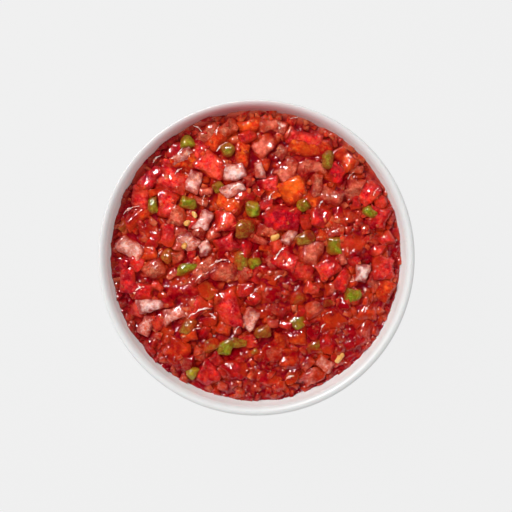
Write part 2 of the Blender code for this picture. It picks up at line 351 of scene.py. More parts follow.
# Tomato seeds that lie on top: x, y, length and width in millimetres, and the turn in degrees
SEEDS = (
    (-24, 12, 2.8, 2, 40),
    (-21.5, 15, 2.6, 1.8, 110),
    (6.5, 7, 3.6, 2.2, 25),
    (29, -35, 4.4, 2.2, 50),
    (-25, 4, 2.4, 2, 70),
)

# Thin slivers whose near-white colour is a painted highlight, shaped as onion skin: x, y and length in
# millimetres, and the turn in degrees
GLINT_SLIVERS = (
    (-12.9, -2.1, 7.5, 18),
    (-18.9, -6.9, 6.0, 36),
    (-0.6, -12.7, 6.2, 54),
    (-19.6, -19.5, 9.0, 22),
    (-6.8, 24.6, 5.0, 20),
    (-20.3, 44.4, 4.4, -36),
    (-11.8, 38.4, 5.4, 36),
    (-43.4, 16.4, 6.4, 28),
    (32.9, 28.4, 3.4, 50),
    (38.6, -18, 3.0, 55),
    (24.8, -19.8, 4.0, 20),
    (5.3, 21.4, 3.8, 55),
    (-18.2, 19.9, 3.6, 80),
    (-34.5, 34.1, 3.8, 45),
    (-40.5, -10.9, 3.6, 25),
    (8.4, 1.5, 5.4, 50),
    (11.6, -42.2, 3.6, 28),
    (-6.8, -25.5, 3.6, 65),
    (-26.3, 36.6, 3.4, 58),
    (16.2, 47.6, 9.0, -8),
    (41.4, 22.8, 3.2, 55),
    (-13.2, 44.1, 3.6, 70),
    (7.7, -7, 3.0, 30),
    (22.4, 18.5, 2.8, 60),
    (-2.9, -10.6, 3.0, 25),
    (-15.3, -20.6, 3.2, -45),
    (-33.5, 1.1, 3.0, 60),
    (23.2, -24.6, 3.4, 65),
    (-20.8, -25.2, 2.8, 15),
    (-27, 29.9, 3.2, 40),
)
SLIVER_WIDTH = 0.62 * MM

# Camera: the photo's width in pixels, a pixel's width on the rim's level, and the pixel at the rim's middle
PHOTO_SIDE = 512
PIXEL = 0.3442 * MM
RIM_PIXEL = (256.5, 258.4)
SENSOR_MM = 36

# Lights: bearing anticlockwise from +X and height, in degrees, and distance from the rim's middle
KEY_FROM = (136, 52)
GLINT_FROM = (122, 42)
LIGHT_DISTANCE = 700 * MM

# Places where the juice stands high round the dice: x, y and reach in millimetres
SOAKED = (
    (33, -25, 15),
    (1, -43, 15),
    (33, 8, 11),
    (-32, -33, 9),
    (-22, -12, 10),
    (8, -12, 11),
    (19, -28, 10),
    (15, 33, 8),
    (-42, 10, 7),
)


def mm_property(name, description, default):
    """A length that a user can change, given in millimetres."""
    length = {"min": 0, "unit": "LENGTH", "subtype": "DISTANCE", "precision": 5}
    return FloatProperty(name=name, description=description, default=default * MM, **length)


def number_property(name, description, default, **limits):
    """A plain number that a user can change, such as a share or a power."""
    return FloatProperty(name=name, description=description, default=default, **limits)


def angle_property(name, description, default):
    """An angle that a user can change, given in degrees."""
    angle = {"unit": "ROTATION", "subtype": "ANGLE"}
    return FloatProperty(name=name, description=description, default=math.radians(default), **angle)


def color_property(name, description, default):
    """A colour that a user can change, given as a screen colour."""
    return FloatVectorProperty(name=name, description=description, subtype="COLOR", default=linear(*default))


class SALSA_PG_pulp(bpy.types.PropertyGroup):
    relief: mm_property("Relief", "Height of the lumps in the pulp", 0.5)
    relief_width: mm_property("Relief width", "Width of the lumps in the pulp", 2.4)
    grain: mm_property("Grain", "Height of the fine grain in the pulp", 0.22)
    grain_width: mm_property("Grain width", "Width of the fine grain in the pulp", 1.0)
    meniscus: mm_property("Meniscus", "How far the juice climbs each piece", 0.45)
    meniscus_width: mm_property("Meniscus width", "How far from a piece the juice starts to climb", 0.45)
    sink: mm_property("Sink", "How far the pulp lies below the fill's level between the pieces", 1.15)
    climb: mm_property("Climb", "How far the pulp reaches up the bowl's wall at most", 2.6)
    grid: IntProperty(name="Grid", description="Squares across the pulp", default=270, min=20)
    color: color_property("Juice", "Colour of the juice", JUICE)


class SALSA_PG_dice(bpy.types.PropertyGroup):
    step: mm_property("Step", "Side of the squares that a piece's mesh is cut into", 0.5)
    lift: mm_property("Lift", "How far the pieces stand above their solids", 0.2)
    crown: mm_property("Crown", "How far a piece's top swells in its middle", 0.25)
    warp: number_property("Warp", "How uneven a piece's sides are, as a share of its width", 0.2)
    relief_width: mm_property("Relief width", "Width of the lumps on a cut face", 2.3)
    grain: mm_property("Grain", "Height of the fine grain on a cut face", 0.12)
    grain_width: mm_property("Grain width", "Width of the fine grain on a cut face", 0.9)
    juice_depth: mm_property("Juice depth", "How far the juice shows up a piece's sides", 0.9)
    juice_reach: mm_property("Juice reach", "How far the juice creeps in from a piece's outline", 2.9)


class SALSA_PG_bits(bpy.types.PropertyGroup):
    density: number_property("Density", "Bits for each square metre of pulp", 150000, min=0)
    spacing: mm_property("Spacing", "Least distance between bits", 1.7)
    smallest: mm_property("Smallest", "Length of the smallest bit", 1.4)
    largest: mm_property("Largest", "Length of the largest bit", 4.6)
    seed: IntProperty(name="Seed", description="Seed of the scatter", default=4)


class SALSA_PG_scraps(bpy.types.PropertyGroup):
    density: number_property("Density", "Scraps for each square metre of dice", 26000, min=0)
    spacing: mm_property("Spacing", "Least distance between scraps", 1.2)
    smallest: mm_property("Smallest", "Length of the smallest scrap", 0.5)
    largest: mm_property("Largest", "Length of the largest scrap", 2.2)
    seed: IntProperty(name="Seed", description="Seed of the scatter", default=14)


class SALSA_PG_stage(bpy.types.PropertyGroup):
    floor_color: color_property("Floor", "Colour of the floor and backdrop", (239, 239, 239))
    distance: mm_property("Distance", "From the rim's centre to the camera", 600)
    tilt_up: angle_property("Tilt", "Lean of the camera towards +Y", 3)
    tilt_left: angle_property("Lean", "Lean of the camera towards -X", 0.3)
    key_power: number_property("Key", "Power of the key light in watts", 4.25)
    key_size: mm_property("Key size", "Width of the key light", 620)
    glint_power: number_property("Glint", "Power of the light that only shines off wet faces, in watts", 5.4)
    glint_size: mm_property("Glint size", "Width of the light that only shines off wet faces", 130)
    fill: number_property("Fill", "Strength of the soft light from all round", 0.62)


# Shape of the bowl


def wall_point(mouth_radius, full_depth, turn):
    """Radius and height on the wall curve, where turn goes from 0 at the rim to a right angle at the axis."""
    depth = full_depth * math.sin(turn) ** (2 / WALL_ROUNDNESS)
    radius = (mouth_radius - WALL_DRAFT * depth) * max(math.cos(turn), 0) ** (2 / WALL_ROUNDNESS)
    return radius, BOWL_HEIGHT - depth


def turn_where(mouth_radius, full_depth, passed):
    """The turn where the wall curve first meets a condition on its radius and height, found by halving."""
    low, high = 0.0, math.pi / 2
    for _ in range(40):
        middle = (low + high) / 2
        if passed(*wall_point(mouth_radius, full_depth, middle)):
            high = middle
        else:
            low = middle
    return low


def spread(first, last, count):
    """Evenly spaced numbers from the first to the last."""
    return [first + (last - first) * i / (count - 1) for i in range(count)]


def bowl_profile():
    """Outline from the middle of the inner floor up to the lip, down the outside and round the foot.

    The lip swells softly out of the inner wall to a crest near its outer edge, and turns over more tightly.
    """
    start = BOWL_HEIGHT - LIP_DEPTH
    inner_top = turn_where(MOUTH_RADIUS, INSIDE_DEPTH, lambda r, z: z < start)
    outer_top = turn_where(RIM_RADIUS, OUTSIDE_DEPTH, lambda r, z: z < BOWL_HEIGHT - LIP_TURN)
    outer_foot = turn_where(RIM_RADIUS, OUTSIDE_DEPTH, lambda r, z: r < FOOT_RADIUS)
    inner = [wall_point(MOUTH_RADIUS, INSIDE_DEPTH, t) for t in spread(math.pi / 2, inner_top, INNER_POINTS)]
    outer = [wall_point(RIM_RADIUS, OUTSIDE_DEPTH, t) for t in spread(outer_top, outer_foot, OUTER_POINTS)]
    lip = []
    for t in spread(0, math.pi / 2, LIP_RISE_POINTS)[1:]:
        reach, rise = 1 - math.cos(t), math.sin(t)
        lip.append((inner[-1][0] + (LIP_CREST - inner[-1][0]) * reach, start + LIP_DEPTH * rise))
    drop = BOWL_HEIGHT - outer[0][1]
    for t in spread(math.pi / 2, 0, LIP_TURN_POINTS)[1:-1]:
        lip.append((LIP_CREST + (outer[0][0] - LIP_CREST) * math.cos(t), outer[0][1] + drop * math.sin(t)))
    foot = [
        (FOOT_RADIUS, FOOT_CHAMFER * 1.6),
        (FOOT_RADIUS - 0.1 * MM, FOOT_CHAMFER * 0.6),
        (FOOT_FLAT_OUTER, 0.05 * MM),
        (FOOT_FLAT_OUTER - 0.4 * MM, 0),
        (FOOT_FLAT_INNER + 0.3 * MM, 0),
        (FOOT_FLAT_INNER, 0.05 * MM),
        (RECESS_RADIUS + 0.1 * MM, RECESS_HEIGHT - 0.2 * MM),
        (RECESS_RADIUS - 0.4 * MM, RECESS_HEIGHT),
        (RECESS_RADIUS / 2, RECESS_HEIGHT),
        (0, RECESS_HEIGHT),
    ]
    return [(0, inner[0][1])] + inner[1:] + lip + outer + foot


def toward_bearing(x, y, bearing):
    """How near each place's bearing from the bowl's axis is to a bearing: 1 at it and 0 opposite it."""
    return 0.5 + 0.5 * np.cos(np.arctan2(y, x) - bearing)


def uneven_lip(mesh):
    """Moves the lip's crest a little off the middle of the rim, as on a bowl that is thrown by hand."""
    points = points_of(mesh)
    x, y, z = points.T
    radius = np.hypot(x, y)
    high = np.clip((z - BOWL_HEIGHT + LIP_DEPTH) / LIP_DEPTH, 0, 1)
    outside = np.clip((LIP_EDGE - radius) / (LIP_EDGE - LIP_CREST), 0, 1)
    drift = LIP_DRIFT * np.minimum(high, outside) * np.cos(np.arctan2(y, x) - LIP_BEARING)
    points[:, :2] *= (1 + drift / np.maximum(radius, MM))[:, None]
    mesh.vertices.foreach_set("co", points.astype(np.float32).ravel())


def painted_glaze_shade(points):
    """How much painted shade, reddened by light off the salsa, the glaze takes at each point: only round and
    above the fill, most towards +Y.
    """
    x, y, z = points.T
    radius = np.hypot(x, y)
    middle = (MOUTH_RADIUS + RIM_RADIUS) / 2 - WALL_DRAFT * (BOWL_HEIGHT - z)
    inside = np.where(z > BOWL_HEIGHT - LIP_TURN, radius < LIP_CREST + LIP_DRIFT, radius < middle)
    inside = inside & (z > BOWL_HEIGHT - 1.5 * FILL_DEPTH)
    low = np.clip((LIP_EDGE - radius) / LIP_THICKNESS, 0, 1)
    return inside * low * toward_bearing(x, y, PAINTED_GLAZE_SHADE_BEARING) ** PAINTED_GLAZE_SHADE_NARROWNESS


def painted_lip_shade(points):
    """How much painted shade the glaze takes at each point: most over the lip's top."""
    return np.clip((points[:, 2] - BOWL_HEIGHT + PAINTED_LIP_SHADE_DEPTH) / LIP_TURN, 0, 1)


def inner_wall():
    """The inside of the bowl as its solid has it: points down the wall, from the lip's end to the floor."""
    top = turn_where(MOUTH_RADIUS, INSIDE_DEPTH, lambda r, z: z < BOWL_HEIGHT - LIP_THICKNESS / 2)
    points = [wall_point(MOUTH_RADIUS, INSIDE_DEPTH, t) for t in spread(top, math.pi / 2, 10)]
    return points[:-1] + [(0, points[-1][1])]


def inside_radius(height):
    """Radius of the space that the diced pieces may fill at a height."""
    wall = inner_wall()
    for (upper_radius, upper_height), (lower_radius, lower_height) in zip(wall, wall[1:]):
        if height >= lower_height:
            share = (height - lower_height) / (upper_height - lower_height)
            return lower_radius + (upper_radius - lower_radius) * share - WALL_GAP
    return 0.0


def fill_level(x, y):
    """Height of the top of the pulp and juice: a slight dome that leans a little towards -Y."""
    share = np.hypot(x, y) / MOUTH_RADIUS
    return BOWL_HEIGHT - FILL_DEPTH + FILL_DOME * (1 - share * share) + FILL_SLOPE * y / MOUTH_RADIUS


# Places of the diced pieces


@dataclass
class Piece:
    """One diced piece: where it lies, how it is cut and tilted, and its shade."""

    kind: str
    x: float
    y: float
    length: float
    width: float
    turn: float
    shade: float
    corners: list
    tilt: tuple
    rise: float


def crowded(x, y, length, width, rows):
    """True if a piece this large would mostly lie over one that is there already."""
    for _, other_x, other_y, other_length, other_width, _, _ in rows:
        reach = (length + width + other_length + other_width) / 4
        if math.hypot(x - other_x, y - other_y) < FILLER_SPACING * reach:
            return True
    return False


def lay_out_pieces():
    """Every diced piece: the large ones first, and then fillers where there is room.

    Places and shapes take their draws in the order that the solids have them. Shades have draws of their own.
    """
    rows = []
    for kind, table in LARGE_PIECES.items():
        for x, y, length, width, turn, shade in table:
            rows.append((kind, x * MM, y * MM, length * MM, width * MM, math.radians(turn), shade))
    large_count = len(rows)
    draw = random.Random(FILLER_SEED)
    finish = random.Random(FINISH_SEED)
    reach = inside_radius(BOWL_HEIGHT - FILL_DEPTH)
    for _ in range(FILLER_TRIES):
        length = draw.uniform(*FILLER_SIZES)
        width = length * draw.uniform(*FILLER_SLIMNESS)
        radius = (reach - length / 2) * math.sqrt(draw.random())
        around = draw.uniform(0, math.tau)
        x, y = radius * math.cos(around), radius * math.sin(around)
        turn = draw.uniform(0, math.pi)
        if not crowded(x, y, length, width, rows):
            kind = finish.choices(list(FILLER_KINDS), list(FILLER_KINDS.values()))[0]
            rows.append((kind, x, y, length, width, turn, finish.random()))
    cut = random.Random(FILLER_SEED + 1)
    pieces = []
    for index, row in enumerate(rows):
        lean, rise = (LARGE_TILT, LARGE_RISE) if index < large_count else (FILLER_TILT, FILLER_RISE)
        corners = [[cut.uniform(-CORNER_JITTER, CORNER_JITTER) for _ in range(3)] for _ in range(8)]
        tilt = (cut.uniform(-lean, lean), cut.uniform(-lean, lean))
        pieces.append(Piece(*row, corners, tilt, cut.uniform(*rise)))
    return pieces


PIECES = lay_out_pieces()


def lay_out_seeds():
    """The seeds as small pieces, each lying flat a little above the dice."""
    flat = [[0.0] * 3] * 8
    seeds = []
    for x, y, length, width, turn in SEEDS:
        place = (x * MM, y * MM, length * MM, width * MM, math.radians(turn))
        seeds.append(Piece("seed", *place, 0.5, flat, (0.1, -0.1), SEED_RISE))
    return seeds


# Meshes


def new_object(name, data):
    """An object that holds a mesh, a light or a camera, linked to the scene."""
    obj = bpy.data.objects.new(name, data)
    bpy.context.scene.collection.objects.link(obj)
    return obj


def set_values(mesh, name, values):
    """Stores one number for each point, for the mesh's material to read."""
    attribute = mesh.attributes.new(name, "FLOAT", "POINT")
    attribute.data.foreach_set("value", np.asarray(values, np.float32))


def points_of(mesh):
    """The mesh's points as rows of x, y and z."""
    points = np.empty(len(mesh.vertices) * 3, np.float32)
    mesh.vertices.foreach_get("co", points)
    return points.reshape(-1, 3).astype(float)


def turned_mesh(name, profile, steps):
    """A closed mesh of revolution from an outline that starts and ends on the axis."""
    shell = bmesh.new()
    rings = []
    for radius, height in profile[1:-1]:
        turns = [math.tau * k / steps for k in range(steps)]
        rings.append([shell.verts.new((radius * math.cos(t), radius * math.sin(t), height)) for t in turns])
    first = shell.verts.new((0, 0, profile[0][1]))
    last = shell.verts.new((0, 0, profile[-1][1]))
    for k in range(steps):
        after = (k + 1) % steps
        shell.faces.new((first, rings[0][k], rings[0][after]))
        shell.faces.new((last, rings[-1][after], rings[-1][k]))
        for inner, outer in zip(rings, rings[1:]):
            shell.faces.new((inner[k], outer[k], outer[after], inner[after]))
    bmesh.ops.recalc_face_normals(shell, faces=shell.faces[:])
    mesh = bpy.data.meshes.new(name)
    shell.to_mesh(mesh)
    shell.free()
    return mesh


def noise_at(points, width, offset):
    """Smooth noise from -1 to 1 at each point, for bumps of a width."""
    shift = Vector(offset)
    return np.array([noise.noise(Vector(p) / width + shift) for p in points.tolist()])


def on_level(x, y):
    """Points at height 0 from places, for a noise that is the same at every height."""
    return np.stack([x, y, np.zeros_like(x)], axis=1)


def noise_vectors(points, width, offset):
    """Three smooth noises from -1 to 1 at each point, to push it along each axis, for bumps of a width."""
    shifts = ((0, 0, 0), (31.4, 5.2, 7.9), (11.1, 47.3, 2.6))
    return np.stack([noise_at(points, width, Vector(offset) + Vector(shift)) for shift in shifts], axis=1)


CUBE_CORNERS = np.array([(x, y, z) for x in (-0.5, 0.5) for y in (-0.5, 0.5) for z in (-0.5, 0.5)])


@lru_cache(maxsize=None)
def cut_box(counts):
    """Points and faces of a box from -1/2 to 1/2, its sides cut into a grid that is finer near its edges."""
    index, points, faces = {}, [], []
    for axis in range(3):
        one, two = (axis + 1) % 3, (axis + 2) % 3
        for side in (0, counts[axis]):
            for i in range(counts[one]):
                for j in range(counts[two]):
                    square = []
                    for step_one, step_two in ((0, 0), (1, 0), (1, 1), (0, 1)):
                        place = [side] * 3
                        place[one], place[two] = i + step_one, j + step_two
                        key = tuple(place)
                        if key not in index:
                            index[key] = len(points)
                            points.append([p / c - 0.5 for p, c in zip(key, counts)])
                        square.append(index[key])
                    faces.append(square if side else square[::-1])
    points = np.array(points)
    return points * 0.5 + 0.25 * np.sin(points * math.pi), np.array(faces)


def rounded(box, half, radius):
    """Points of a box's surface with its edges and corners rounded to a radius."""
    inner = np.clip(box, radius - half, half - radius)
    out = box - inner
    reach = np.linalg.norm(out, axis=1, keepdims=True)
    return inner + out / np.maximum(reach, 1e-9) * np.minimum(reach, radius)


def near_outline(unit, size, reach):
    """How near its piece's outline each point is: 1 on the sides, down to 0 at a reach in from them."""
    inset = np.min((0.5 - np.abs(unit[:, :2])) * size[:2], axis=1)
    inset[unit[:, 2] < TOP_BAND] = 0
    return np.clip(1 - inset / reach, 0, 1)


def diced_shape(piece, settings):
    """One diced piece in place: its points, its faces, and how near its outline each point is."""
    size = np.array([piece.length, piece.width, SEED_DEPTH if piece.kind == "seed" else PIECE_DEPTH])
    unit, faces = cut_box(tuple(int(c) for c in np.maximum(np.round(size / settings.step), 4)))
    weights = np.prod(0.5 + 2 * CUBE_CORNERS[None] * unit[:, None], axis=2)
    points = rounded(unit * size, size / 2, min(ROUNDNESS[piece.kind] * piece.width, size[2] / 2))
    points += weights @ (np.array(piece.corners) * size)
    crown = np.prod(1 - (2 * unit[:, :2]) ** 2, axis=1)
    points[:, 2] += settings.crown * crown * (unit[:, 2] > 0)
    seat = points + np.array([piece.x, piece.y, 0]) * SEAT_SPREAD
    points += settings.warp * piece.width * noise_vectors(seat, 0.6 * piece.length, (3, 5, 2))
    points += RELIEF[piece.kind] * noise_vectors(seat, settings.relief_width, (7, 1, 4))
    points += settings.grain * noise_vectors(seat, settings.grain_width, (2, 8, 6))
    turn = np.array(Euler((piece.tilt[0], piece.tilt[1], piece.turn)).to_matrix())
    points = points @ turn.T
    wet = soak_at(np.array([piece.x]), np.array([piece.y]))[0]
    top = min(fill_level(piece.x, piece.y) + piece.rise, HIGHEST_PIECE)
    top += settings.lift * (1 - SOAK_DROP * wet)
    points += (piece.x, piece.y, top - np.quantile(points[:, 2], TOP_SHARE))
    return pulled_inside(points), faces, near_outline(unit, size, settings.juice_reach)


def inside_radii(heights):
    """Radius of the space that the diced pieces may fill at each of many heights near the fill's level."""
    sampled = np.linspace(BOWL_HEIGHT - 12 * MM, BOWL_HEIGHT - 3 * MM, 10)
    return np.interp(heights, sampled, [inside_radius(height) for height in sampled])


def pulled_inside(points):
    """Moves a piece towards the axis until none of it comes closer to the bowl's wall than its clearance."""
    for _ in range(3):
        radii = np.hypot(points[:, 0], points[:, 1])
        excess = radii - (inside_radii(points[:, 2]) - PIECE_CLEARANCE)
        worst = excess.argmax()
        if excess[worst] <= 0:
            break
        points = points - np.array([points[worst, 0], points[worst, 1], 0]) * (excess[worst] / radii[worst])
    return points


def soak_at(x, y):
    """How high the juice stands round the dice at each place, from 0 to 1."""
    wet = np.zeros_like(x)
    for middle_x, middle_y, reach in SOAKED:
        far = np.hypot(x - middle_x * MM, y - middle_y * MM) / (reach * MM)
        wet = np.maximum(wet, np.clip(1.3 * (1 - far * far), 0, 1))
    return wet


def pool_at(x, y):
    """How much juice lies over each place: most where it stands high, and more towards -Y, so the fill is
    darker towards -Y.
    """
    drift = POOL_DRIFT * noise_at(on_level(x, y), POOL_WIDTH, (4, 2, 7))
    slope = POOL_SLOPE * (POOL_START - y / MOUTH_RADIUS)
    return np.clip(soak_at(x, y) * POOL_SOAK + slope + drift, *POOL_RANGE)


def from_wall(x, y):
    """Distance from each place to the wall at the fill's level, or 0 beyond it."""
    edge = inside_radius(BOWL_HEIGHT - FILL_DEPTH) + WALL_GAP
    return np.clip(edge - np.hypot(x, y), 0, None)


def wall_shade(x, y):
    """How much painted shadow of the wall each place takes: most at the wall, and widest and darkest towards
    -X.
    """
    side = np.clip(np.cos(np.arctan2(y, x) - SHADE_BEARING), 0, 1)
    return (0.45 + 0.55 * side) * np.exp(-from_wall(x, y) / ((0.8 + side) * MM))


def thin_film(x, y):
    """How much each place on the pulp is only a thin film of juice over the white wall, most towards +Y."""
    return toward_bearing(x, y, FILM_BEARING) ** 3 * np.exp(-from_wall(x, y) / FILM_REACH)


def sunk_share(points, depth):
    """How deep each point lies in juice: 1 at the fill's level and 0 from a depth above it."""
    x, y = points[:, 0], points[:, 1]
    above = (points[:, 2] - fill_level(x, y)) / (depth * (1 + soak_at(x, y)))
    share = np.clip(1 - above, 0, 1)
    return share * share * (3 - 2 * share)


def dice_mesh(kind, pieces, settings):
    """All pieces of one kind as one mesh, with a shade and a pattern offset for each piece."""
    points, faces, edges, shades, seats = [], [], [], [], []
    count = 0
    for index, piece in enumerate(pieces):
        placed, squares, edge = diced_shape(piece, settings)
        points.append(placed)
        faces.append(squares + count)
        edges.append(edge)
        shades.append(np.full(len(placed), piece.shade))
        seats.append(np.full(len(placed), index * SEAT_STEP))
        count += len(placed)
    points = np.concatenate(points)
    mesh = bpy.data.meshes.new(kind)
    mesh.from_pydata(points.tolist(), [], np.concatenate(faces).tolist())
    set_values(mesh, "tint", np.concatenate(shades))
    set_values(mesh, "seat", np.concatenate(seats))
    set_values(mesh, "edge", np.concatenate(edges))
    set_values(mesh, "pool", pool_at(points[:, 0], points[:, 1]))
    # Painted shadow of the wall
    set_values(mesh, "wall", wall_shade(points[:, 0], points[:, 1]))
    set_values(mesh, "sunk", sunk_share(points, settings.juice_depth))
    mesh.shade_smooth()
    return mesh


def distance_to_pieces(x, y):
    """Distance from each place on the pulp to the outline of the nearest diced piece, below 0 inside it."""
    nearest = np.full(x.shape, 1.0)
    for piece in PIECES:
        across, up = x - piece.x, y - piece.y
        along = np.abs(across * math.cos(piece.turn) + up * math.sin(piece.turn)) - piece.length / 2
        beside = np.abs(up * math.cos(piece.turn) - across * math.sin(piece.turn)) - piece.width / 2
        nearest = np.minimum(nearest, np.maximum(along, beside))
    return nearest


def wall_climb(x, y, edge, settings):
    """How far the pulp reaches up near the wall, unevenly and most towards the upper left of the photo."""
    radius = np.maximum(np.hypot(x, y), 1e-9)
    wall = on_level(x / radius * edge, y / radius * edge)
    uneven = 0.5 + noise_at(wall, 7 * MM, (5, 5, 1)) + 0.5 * noise_at(wall, 2.5 * MM, (1, 6, 3))
    share = (0.3 + 0.7 * toward_bearing(x, y, CLIMB_BEARING)) * np.clip(0.35 + uneven, 0, 1)
    return settings.climb * share * np.exp(-(edge - radius) / (2 * settings.meniscus_width))


def pulp_height(x, y, edge, settings):
    """Height of the pulp at each place: lumpy, sunk between the pieces, and climbing them and the wall."""
    flat = on_level(x, y)
    z = fill_level(x, y) - settings.sink * (1 - SOAK_FLATTENING * soak_at(x, y))
    z += CORE_BUMP * noise_at(flat, CORE_BUMP_WIDTH, (0, 0, 0))
    z += settings.relief * noise_at(flat, settings.relief_width, (3, 1, 8))
    z += settings.grain * noise_at(flat, settings.grain_width, (9, 4, 2))
    near = np.clip(distance_to_pieces(x, y), 0, None)
    z += settings.meniscus * np.exp(-near / settings.meniscus_width)
    return z + wall_climb(x, y, edge, settings)


def close_below(points, faces, ring):
    """Closes a surface over the fill with a body down the inner wall, from the ring of points round it."""
    radii = [math.hypot(points[i][0], points[i][1]) for i in ring]
    directions = [(points[i][0] / far, points[i][1] / far) for i, far in zip(ring, radii)]
    for radius, height in inner_wall()[1:-1]:
        if height < BOWL_HEIGHT - FILL_DEPTH - 2 * FILL_SLOPE:
            lower = list(range(len(points), len(points) + len(ring)))
            radius -= WALL_GAP
            points += [[across * radius, up * radius, height + WALL_GAP] for across, up in directions]
            for k in range(len(ring)):
                after = (k + 1) % len(ring)
                faces.append([ring[k], ring[after], lower[after], lower[k]])
            ring = lower
    points.append([0, 0, BOWL_HEIGHT - INSIDE_DEPTH + WALL_GAP])
    faces += [[ring[k], ring[(k + 1) % len(ring)], len(points) - 1] for k in range(len(ring))]


def pulp_mesh(settings):
    """Pulp and juice: a fine grid over the fill with lumps and menisci, closed by a body below it."""
    count = settings.grid
    side = np.linspace(-1, 1, count + 1)
    u, v = np.meshgrid(side, side, indexing="ij")
    edge = inside_radius(BOWL_HEIGHT - FILL_DEPTH) + WALL_GAP + PULP_OVERLAP
    x = (u * np.sqrt(1 - v * v / 2)).ravel() * edge
    y = (v * np.sqrt(1 - u * u / 2)).ravel() * edge
    z = pulp_height(x, y, edge, settings)
    limits = inside_radii(z) + WALL_GAP + PULP_OVERLAP
    outward = 1 + (limits / edge - 1) * (np.hypot(x, y) / edge) ** 12
    x, y = x * outward, y * outward
    points = np.stack([x, y, z], axis=1).tolist()
    index = np.arange((count + 1) ** 2).reshape(count + 1, count + 1)
    quads = np.stack([index[:-1, :-1], index[1:, :-1], index[1:, 1:], index[:-1, 1:]], axis=-1)
    faces = quads.reshape(-1, 4).tolist()
    ring = [int(i) for i in (*index[0, :-1], *index[:-1, -1], *index[-1, :0:-1], *index[:0:-1, 0])]
    close_below(points, faces, ring)
    mesh = bpy.data.meshes.new("pulp")
    mesh.from_pydata(points, [], faces)
    made = points_of(mesh)
    x, y, z = made.T
    # Painted shadow of the wall
    set_values(mesh, "wall", wall_shade(x, y))
    set_values(mesh, "pool", pool_at(x, y))
    set_values(mesh, "thin", thin_film(x, y))
    # Painted shade in the hollows between the pieces, where the pulp lies deep
    set_values(mesh, "deep", np.clip((fill_level(x, y) - z) / settings.sink, 0, 1))
    tidy = bmesh.new()
    tidy.from_mesh(mesh)
    bmesh.ops.recalc_face_normals(tidy, faces=tidy.faces[:])
    tidy.to_mesh(mesh)
    tidy.free()
    mesh.shade_smooth()
    return mesh


# Node trees


def plug(tree, socket, value):
    """Links an output to a socket, or sets the socket's own value."""
    if isinstance(value, bpy.types.NodeSocket):
        tree.links.new(value, socket)
    else:
        socket.default_value = value


def add_node(tree, kind, inputs=None, **settings):
    """Adds a node with its settings and with its inputs by name or number."""
    node = tree.nodes.new(kind)
    for name, value in settings.items():
        setattr(node, name, value)
    for name, value in (inputs or {}).items():
        plug(tree, node.inputs[name], value)
    return node


def add_group_sockets(tree, inputs, outputs):
    """Adds a group's sockets: name, socket type and default of each input, name and type of each output."""
    for name, kind, default in inputs:
        socket = tree.interface.new_socket(name=name, in_out="INPUT", socket_type=kind)
        if default is not None:
            socket.default_value = default
    for name, kind in outputs:
        tree.interface.new_socket(name=name, in_out="OUTPUT", socket_type=kind)


def mix_colors(tree, share, first, second):
    """The first colour turning into the second as the share goes from 0 to 1."""
    node = add_node(tree, "ShaderNodeMix", data_type="RGBA")
    for index, value in ((0, share), (6, first), (7, second)):
        plug(tree, node.inputs[index], value)
    return node.outputs[2]


def calculate(tree, operation, first, second=0.0, third=None):
    """One sum on numbers that can change over the surface."""
    node = add_node(tree, "ShaderNodeMath", {0: first, 1: second}, operation=operation)
    if third is not None:
        plug(tree, node.inputs[2], third)
    return node.outputs[0]


def vector_math(tree, operation, first, second):
    """A vector worked out from two, or from one and a scale."""
    name = "Scale" if operation == "SCALE" else 1
    return add_node(tree, "ShaderNodeVectorMath", {0: first, name: second}, operation=operation).outputs[0]


def cloud_noise(tree, scale, detail, **inputs):
    """Noise from 0 to 1 on the object's own coordinates, with a scale of lumps for each metre."""
    inputs = {"Scale": scale, "Detail": detail, **inputs}
    if "Vector" not in inputs:
        inputs["Vector"] = add_node(tree, "ShaderNodeTexCoord").outputs["Object"]
    return add_node(tree, "ShaderNodeTexNoise", inputs).outputs[0]


def per_metre(tree, width):
    """The scale that gives lumps of a width, where the width is in millimetres."""
    return calculate(tree, "DIVIDE", 1 / MM, width)


def ramp(tree, share, colors):
    """A colour ramp with evenly spaced colours, given as screen colours."""
    node = add_node(tree, "ShaderNodeValToRGB", {0: share})
    stops = node.color_ramp.elements
    while len(stops) < len(colors):
        stops.new(0.5)
    for stop, place, color in zip(stops, spread(0, 1, len(colors)), colors):
        stop.position = place
        stop.color = paint(color)
    return node.outputs[0]


def remap(tree, value, low, high, to_low=0.0, to_high=1.0):
    """Maps a range of values onto another, held to its ends."""
    inputs = {0: value, 1: low, 2: high, 3: to_low, 4: to_high}
    return add_node(tree, "ShaderNodeMapRange", inputs, clamp=True).outputs[0]


